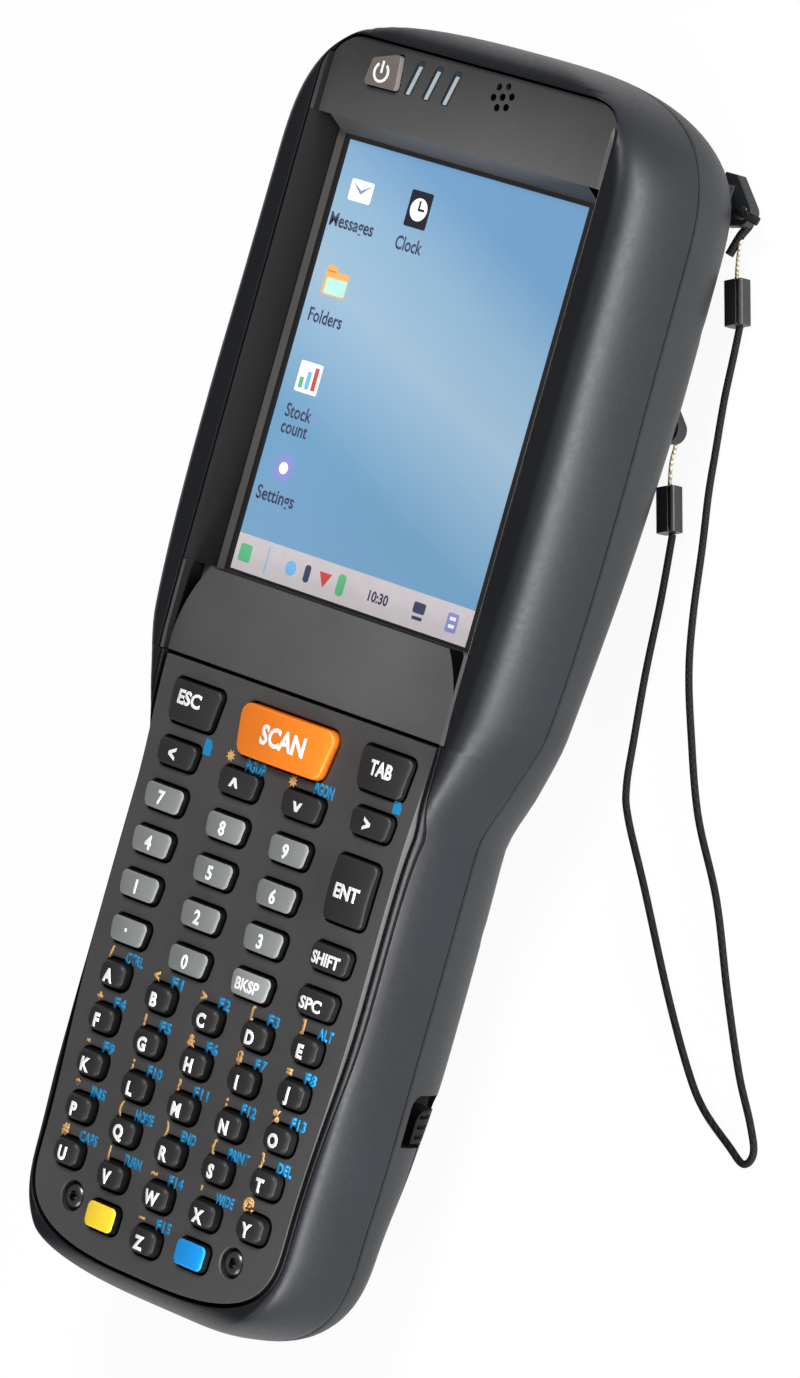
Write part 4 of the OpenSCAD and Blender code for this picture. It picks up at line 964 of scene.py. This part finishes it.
def thicken(part, height, thick):
    """Close a flat part with a copy below and walls round its border, at a height."""
    faces = list(part.faces)
    for f in faces:
        if f.normal.z < 0:
            f.normal_flip()
    walls = []
    for e in part.edges:
        if len(e.link_faces) == 1:
            vs = [corner.vert for corner in e.link_faces[0].loops]
            a, b = e.verts
            walls.append((a, b) if vs[(vs.index(a) + 1) % len(vs)] == b else (b, a))
    low = {v: part.verts.new(v.co) for v in list(part.verts)}
    for f in faces:
        part.faces.new([low[corner.vert] for corner in reversed(list(f.loops))])
    for a, b in walls:
        part.faces.new((b, a, low[a], low[b]))
    lows = set(low.values())
    for v in part.verts:
        z = height(v.co.x / MM, v.co.y / MM) if callable(height) else height
        v.co.z = (z + (-0.05 if v in lows else thick)) * MM


def printed(name, items, body, mat, thick=0.03):
    """Thin raised print from items of flat mesh, x, y, height or height function, and angle."""
    bm = bmesh.new()
    for me, x, y, height, angle in items:
        part = bmesh.new()
        part.from_mesh(me)
        bmesh.ops.remove_doubles(part, verts=part.verts, dist=1e-6)
        move = Matrix.Translation((x * MM, y * MM, 0)) @ Matrix.Rotation(angle, 4, "Z")
        bmesh.ops.transform(part, matrix=move, verts=part.verts)
        if callable(height):
            refine(part)
        bmesh.ops.dissolve_degenerate(part, dist=1e-7, edges=part.edges)
        drop_twins(part)
        thicken(part, height, thick)
        flat = bpy.data.meshes.new("p")
        part.to_mesh(flat)
        part.free()
        bm.from_mesh(flat)
        bpy.data.meshes.remove(flat)
    me = bpy.data.meshes.new(name)
    bm.to_mesh(me)
    bm.free()
    me.materials.append(mat)
    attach(link(bpy.data.objects.new(name, me)), body)


# word, width, height and place beside the middle of the key
TEXTS = {
    "escape_key": ("ESC", 4.8, 2.1, -0.6, 0.7), "tab_key": ("TAB", 4.4, 2.2, 0, 0.4),
    "scan_key": ("SCAN", 9.0, 2.9, 0.5, 0.2), "enter_key": ("ENT", 4.9, 2.1, 0, -0.2),
    "shift_key": ("SHIFT", 5.6, 1.8, -0.4, -0.2), "space_key": ("SPC", 4.4, 1.8, -0.6, -0.2),
    "backspace_key": ("BKSP", 4.8, 1.8, -0.3, -0.1), "point_key": (".", None, 2.3, -0.2, 0.1),
    **{"key_%d" % i: (str(i), None, 2.1, -0.2, -0.1) for i in range(10)}}
ARROWS = {"left_key": 90, "up_key": 0, "down_key": 180, "right_key": -90}
ARROW = [(-0.95, -0.62), (-0.45, -0.62), (0, 0.12), (0.45, -0.62), (0.95, -0.62), (0.25, 0.8), (-0.25, 0.8)]
for k, (c, w, l, lean, mat) in KEYS.items():
    scan = k == "scan_key"
    height = key_top(1.86, 60, 60) if scan else key_top(1.3, 26, 26)
    mats = [M[mat], M["scan_side_shade" if scan else "key_side"]]
    r = key_radius(k)
    wear(key_cap(k + "_cap", c, key_shape(w, l, lean, r), r, height, mats, 0.45), k)
    if k in TEXTS:
        word, wide, high, dx, dy = TEXTS[k]
        mark = (text_mesh(word, high, wide, 0.035), c[0] + dx, c[1] + dy, over(c, height), 0)
        printed(k + "_legend", [mark], body_of(k), M["white"])
    elif k in ARROWS:
        mark = (outline_mesh(ARROW), c[0] - 0.3, c[1] - 0.1, over(c, height), math.radians(ARROWS[k]))
        printed(k + "_legend", [mark], body_of(k), M["white"])

height = key_top(1.7, 9.0, 7.5)
shape = key_shape(LW, LL, LETTER_LEAN, LETTER_R, 8)
mats = [M["key_letter"], M["key_side"]]
for i, (node, letters) in enumerate(zip(LETTER_NODES, LETTERS)):
    bm = bmesh.new()
    marks = []
    for n, letter in enumerate(letters):
        c = letter_spot(i, n)
        cap = key_cap("cap", c, shape, LETTER_R, height, mats, 0.7, 0.1)
        bm.from_mesh(cap.data)
        bpy.data.objects.remove(cap)
        marks.append((text_mesh(letter, 2.0, None, 0.05), c[0] - 0.2, c[1] - 0.3, over(c, height), 0))
    me = bpy.data.meshes.new(node + "_caps")
    bm.to_mesh(me)
    bm.free()
    for mat in mats:
        me.materials.append(mat)
    sharpen(me, 50)
    wear(link(bpy.data.objects.new(node + "_caps", me)), node)
    printed(node + "_legend", marks, body_of(node), M["white"])

# ------------------------------------------------------------------ printed labels on the plate
MARKS = ["/<>[]", "+!&$=", "-;?:%", "*(){}", "#|~'@", "_"]
WORDS = ["CTRL F1 F2 F3 ALT", "F4 F5 F6 F7 F8", "F9 F10 F11 F12 F13", "INS HOME END PRINT DEL",
         "CAPS TURN F14 WIDE", "F15"]
WIDTHS = {2: 2.5, 3: 3.1, 4: 3.8, 5: 4.3}      # of a word, by its number of letters
blue, cream = [], []
for i, words in enumerate(WORDS):
    for n, word in enumerate(words.split()):
        x, y = letter_spot(i, n)
        w = WIDTHS[len(word)]
        blue.append((text_mesh(word, 1.6, w, 0.05), x + 0.75 + w / 2, y + 2.85, RIM, 0))
    for n, mark in enumerate(MARKS[i]):
        x, y = letter_spot(i, n)
        cream.append((text_mesh(mark, 1.7, None, 0.055), x - 2.3, y + 2.9, RIM, 0))
for word, x, y in (("PGUP", -4.7, -14.75), ("PGDN", 9.4, -14.5)):
    blue.append((text_mesh(word, 1.8, 4.0, 0.05), x, y, RIM, 0))
for x, y, h in ((-14.9, -14.3, 1.2), (23.9, -13.2, 0.9)):
    blue.append((outline_mesh([(-0.8, -h), (0.8, -h), (0.8, h * 0.2), (0.3, h), (-0.8, h)]), x, y, RIM, 0))


def star(points, outer, inner, wide=1):
    """Outline whose points lie in turn on an outer and an inner circle, wide of them on each."""
    n = 2 * points * wide
    out = []
    for i in range(n):
        rad = outer if (i // wide) % 2 else inner
        out.append((rad * math.cos(2 * math.pi * i / n), rad * math.sin(2 * math.pi * i / n)))
    return outline_mesh(out)


for x, y in ((-10.1, -14.3), (3.1, -14.7)):
    cream.append((star(8, 0.95, 0.5), x, y, RIM, 0))
printed("plate_blue_words", blue, ROOT, M["label_blue"], 0.015)
printed("plate_cream_marks", cream, ROOT, M["cream"], 0.015)


# ------------------------------------------------------------------ display
def slab(name, half, low, high, z0, z1, mat):
    """A flat piece of the display, with y from the display's middle."""
    ob = block(-half, half, DY + low, DY + high, z0, z1)
    ob.name = name
    ob.data.materials.append(mat)
    return ob


SCREEN_Z, STRIP_Y = 27.485, -27.0
pane = slab("window_pane", 28.4, -34.4, 36.6, 26.3, 27.44, M["border"])
bevel(pane, 0.1)
wear(pane, "touch_window")
strip_mat = ink("strip_grey", (0.50, 0.46, 0.48), 0.35)
for name, half, low, high, z0, z1, mat in (
        ("window_margin", 27.0, -33.0, 35.0, 27.40, 27.455, M["border_grey"]),
        ("window_mask", 25.5, -32.9, 33.6, 27.42, 27.47, M["border"]),
        ("display_image", 24.3, STRIP_Y, 32.4, 27.43, SCREEN_Z, M["screen"]),
        ("display_task_strip", 24.3, -32.4, STRIP_Y, 27.43, SCREEN_Z, strip_mat)):
    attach(slab(name, half, low, high, z0, z1, mat), ROOT)

INKS = {"dark": ink("screen_dark", (0.05, 0.06, 0.12), 0.1)}
for name, rgb in (("green", (0.10, 0.42, 0.20)), ("orange", (0.75, 0.38, 0.10)),
                  ("paper", (0.80, 0.82, 0.82)), ("violet", (0.22, 0.24, 0.55)),
                  ("red", (0.55, 0.06, 0.06)), ("night", (0.01, 0.01, 0.02)),
                  ("aqua", (0.42, 0.72, 0.66)), ("sky", (0.16, 0.42, 0.70))):
    INKS[name] = ink("screen_" + name, rgb, 0.3)


def disc(r):
    return outline_mesh(circle(r, 28))


def rect(w, h, r=0.3):
    corners = [(-w / 2, -h / 2), (w / 2, -h / 2), (w / 2, h / 2), (-w / 2, h / 2)]
    return outline_mesh(ring_at(corner_arcs(corners, r, 3), r))


def caption(word, w, y):
    return text_mesh(word, 2.1, w, 0.02), 0, y, 1, "dark"


# parts of each icon on the screen: flat mesh, place from the icon's middle, layer and colour
ENVELOPE = [(rect(4.6, 3.2), 0, 0, 1, "paper"),
            (outline_mesh([(-2.0, 1.2), (0, -0.5), (2.0, 1.2), (0, 0.1)]), 0, 0, 2, "violet"),
            caption("Messages", 9.0, -5.2)]
CLOCK = [(rect(4.4, 5.4), 0, 0, 1, "night"), (disc(1.7), 0, 0, 2, "paper"),
         (rect(0.35, 1.4, 0.1), 0, 0.6, 3, "night"), (rect(1.2, 0.35, 0.1), 0.5, 0, 3, "night"),
         caption("Clock", 5.4, -5.2)]
FOLDER = [(rect(4.8, 3.6), 0, 0, 1, "orange"), (rect(2.0, 0.9), -1.3, 2.1, 1, "orange"),
          (rect(4.2, 2.4), 0.2, -0.4, 2, "aqua"), caption("Folders", 6.9, -5.0)]
CHART = [(rect(4.6, 4.6), 0, 0, 1, "paper"), (rect(0.8, 1.6, 0.1), -1.3, -0.9, 2, "green"),
         (rect(0.8, 2.6, 0.1), 0, -0.4, 2, "sky"), (rect(0.8, 3.4, 0.1), 1.3, 0, 2, "red"),
         caption("Stock", 5.4, -5.2), caption("count", 5.4, -7.6)]
GEAR = [(star(8, 2.3, 1.75, 2), 0, 0, 1, "violet"), (disc(0.9), 0, 0, 2, "paper"),
        caption("Settings", 7.8, -4.6)]
# the strip along the foot of the screen, from left to right
STRIP = [(rect(2.4, 2.6), -22.2, 0, 1, "green"), (rect(0.25, 4.0, 0.1), -17.6, 0, 1, "sky"),
         (disc(1.1), -12.6, 0, 1, "sky"), (rect(1.2, 2.6, 0.5), -9.2, 0, 1, "dark"),
         (outline_mesh([(0, -1.2), (1.3, 1.0), (-1.3, 1.0)]), -5.6, 0, 1, "red"),
         (rect(1.6, 3.2, 0.6), -2.2, 0, 1, "green"), (text_mesh("10:30", 1.6), 5.6, 0, 1, "dark"),
         (rect(2.4, 1.6), 13.8, 0.5, 1, "dark"), (rect(2.0, 0.5, 0.1), 13.8, -1.0, 1, "dark"),
         (rect(2.2, 2.8), 20.6, 0, 1, "violet"), (rect(1.2, 0.5, 0.1), 20.6, 0.6, 2, "paper"),
         (rect(1.2, 0.5, 0.1), 20.6, -0.5, 2, "paper")]
ICONS = [(ENVELOPE, -19.4, 25.5), (CLOCK, -7.4, 25.3), (FOLDER, -19.4, 11.5), (CHART, -19.4, -2.6),
         (GEAR, -19.4, -16.2), (STRIP, 0, -29.7)]
by_colour = {}
for motif, x0, y0 in ICONS:
    for me, x, y, layer, colour in motif:
        print_z = SCREEN_Z + 0.004 * layer
        by_colour.setdefault((colour, layer), []).append((me, x0 + x, DY + y0 + y, print_z, 0))
for n, ((colour, layer), items) in enumerate(by_colour.items()):
    printed("screen_motif_%d" % n, items, ROOT, INKS[colour], 0.004)

# ------------------------------------------------------------------ CAD pieces that show
for node, mat, width in (
        ("display_bezel", "bezel", 0.12), ("light_pipes", "light", 0.08), ("power_key", "key_power", 0.3),
        ("rear_screws", "steel", 0.08), ("upper_anchor", "back", 0.25), ("lower_anchor", "back", 0.25),
        ("battery_latch", "latch", 0.15), ("dock_connector", "black", 0.1), ("scan_window", "red", 0.1)):
    from_node(node, M[mat], width)
for node, mat in (
        ("speaker", "black"), ("housing_seal", "rubber"), ("display_gasket", "rubber"),
        ("display_module", "grey_metal"), ("main_board", "board"), ("keypad_board", "board"),
        ("keypad_membrane", "membrane"), ("scan_engine", "grey_metal"), ("battery_contacts", "brass")):
    materials = NODES[node].data.materials
    materials.clear()
    materials.append(M[mat])

# keypad screws: radius and height of the shank, the rounded head and a deep round socket
SCREW = [(0.9, 22.5), (0.9, PLATE_BACK), (2.0, PLATE_BACK), (2.0, 30.6), (1.9, 30.95), (1.65, 31.22),
         (1.3, 31.38), (0.95, 31.42), (0.8, 31.36), (0.72, 31.1), (0.68, 30.3), (0.3, 30.25)]
for side, s in (("left", -1), ("right", 1)):
    rings = [[(x, y, z) for x, y in circle(r, 40, s * SCREW_X, SCREW_Y)] for r, z in SCREW]
    wear(rings_mesh("keypad_screw_" + side, rings, [M["screw_dark"]], angle=50), "keypad_screws")

# painted shade and sheen: the bezel is darker towards its top and its left and lighter towards its right, and
# darkest, with painted shade, on the walls of the display well
deepen(M["bezel"], "Y", 0.078, 0.0905, 1.0, 0.45)
deepen(M["bezel"], "X", -0.028, 0.012, 0.72, 1.2)
bezel = bpy.data.objects["display_bezel_piece"]
bezel.data.materials.append(M["bezel_wall_shade"])
# faces of the well's walls, and of the left wall that faces right, take the near-black painted shade
for p in bezel.data.polygons:
    inner = PLATE_TOP * MM + 0.002 < p.center.y < (BEZEL_TOP - 2) * MM and abs(p.center.x) < 0.0285
    left = p.normal.x > 0.5 and p.center.x < -0.02
    if abs(p.normal.z) < 0.5 and (inner or left):
        p.material_index = 1


def top_of(name):
    """Top of a piece, in mm."""
    ob = bpy.data.objects[name]
    return max((ob.matrix_world @ Vector(c)).z for c in ob.bound_box) / MM


def arc_band(r, wide, a0, a1, n=40):
    """A flat open ring, as a strip between two angles in degrees."""
    bends = [math.radians(a0 + (a1 - a0) * i / n) for i in range(n + 1)]
    radii = r - wide / 2, r + wide / 2
    pts = [(q * math.cos(a) * MM, q * math.sin(a) * MM, 0) for a in bends for q in radii]
    me = bpy.data.meshes.new("arc")
    me.from_pydata(pts, [], [(2 * i, 2 * i + 1, 2 * i + 3, 2 * i + 2) for i in range(n)])
    return me


PANEL_MID = DY + 35 + 7.9        # middle of the panel above the display
POWER_X, LIGHTS = -17.6, (-11.8, -8.1, -4.3)
power_top, lights_top = top_of("power_key_piece"), top_of("light_pipes_piece")
POWER_BAR = [(-0.2, -0.1), (0.2, -0.1), (0.2, 1.7), (-0.2, 1.7)]
# a pale slanted streak on each light pipe, as a painted highlight
HIGHLIGHT_STREAK = [(-1.05, -2.2), (-0.35, -2.2), (0.85, 2.2), (0.15, 2.2)]
sign = [(me, POWER_X - 0.2, PANEL_MID, power_top, 0)
        for me in (arc_band(1.35, 0.42, 125, 415), outline_mesh(POWER_BAR))]
printed("power_key_legend", sign, body_of("power_key"), M["white"])
highlights = [(outline_mesh(HIGHLIGHT_STREAK), x, PANEL_MID + 0.1, lights_top, 0) for x in LIGHTS]
printed("light_pipe_highlights", highlights, ROOT, M["pipe_highlight"], 0.01)


# ------------------------------------------------------------------ floor, light
FLOOR_HALF, FLOOR_Z = 6.0, -0.0002


def floor_mat():
    """A matt floor that looks white to the camera, and pale in reflections."""
    mat, N, L, b = new_material("floor_pale")
    b.inputs["Base Color"].default_value = (0.9, 0.9, 0.9, 1)
    b.inputs["Roughness"].default_value = 0.9
    glow = add(N, "Emission", {"Color": (1, 1, 1, 1)})
    ray = N.new("ShaderNodeLightPath")
    seen = add(N, "Math", {}, "MAXIMUM")
    L.new(ray.outputs["Is Camera Ray"], seen.inputs[0])
    L.new(ray.outputs["Is Glossy Ray"], seen.inputs[1])
    share = add(N, "Math", {1: 0.93}, "MULTIPLY")
    L.new(seen.outputs[0], share.inputs[0])
    mix = N.new("ShaderNodeMixShader")
    L.new(share.outputs[0], mix.inputs[0])
    L.new(b.outputs[0], mix.inputs[1])
    L.new(glow.outputs[0], mix.inputs[2])
    L.new(mix.outputs[0], N["Material Output"].inputs["Surface"])
    return mat


fl = bpy.data.meshes.new("floor")
corners = [(x * FLOOR_HALF, y * FLOOR_HALF, FLOOR_Z) for x, y in ((-1, -1), (1, -1), (1, 1), (-1, 1))]
fl.from_pydata(corners, [], [(0, 1, 2, 3)])
fl.materials.append(floor_mat())
link(bpy.data.objects.new("floor", fl))


def area(name, loc, target, size, power, size_y=None):
    """A white lamp that faces its target."""
    d = bpy.data.lights.new(name, "AREA")
    d.energy, d.size = power, size
    if size_y:
        d.shape, d.size_y = "RECTANGLE", size_y
    o = link(bpy.data.objects.new(name, d))
    o.location = loc
    o.rotation_mode = "QUATERNION"
    o.rotation_quaternion = (Vector(target) - Vector(loc)).to_track_quat("-Z", "Y")


area("key_light", (0.2, 0.75, 0.95), (0, 0, 0), 0.35, 10.5)
area("side_soft", (1.0, 0.16, 0.085), (0, 0.0, 0.02), 1.1, 26.0, size_y=0.16)
area("front_soft", (0.15, -0.9, 0.85), (0, 0, 0), 0.6, 3.6)
area("waist_soft", (0.8, -0.64, 0.14), (0, -0.01, 0.02), 0.4, 11.0, size_y=0.16)
world = bpy.data.worlds.new("world")
bpy.context.scene.world = world
world.use_nodes = True
bg = world.node_tree.nodes["Background"]
bg.inputs["Color"].default_value = (1, 1, 1, 1)
bg.inputs["Strength"].default_value = 0.24
bpy.context.scene.view_settings.view_transform = "Standard"
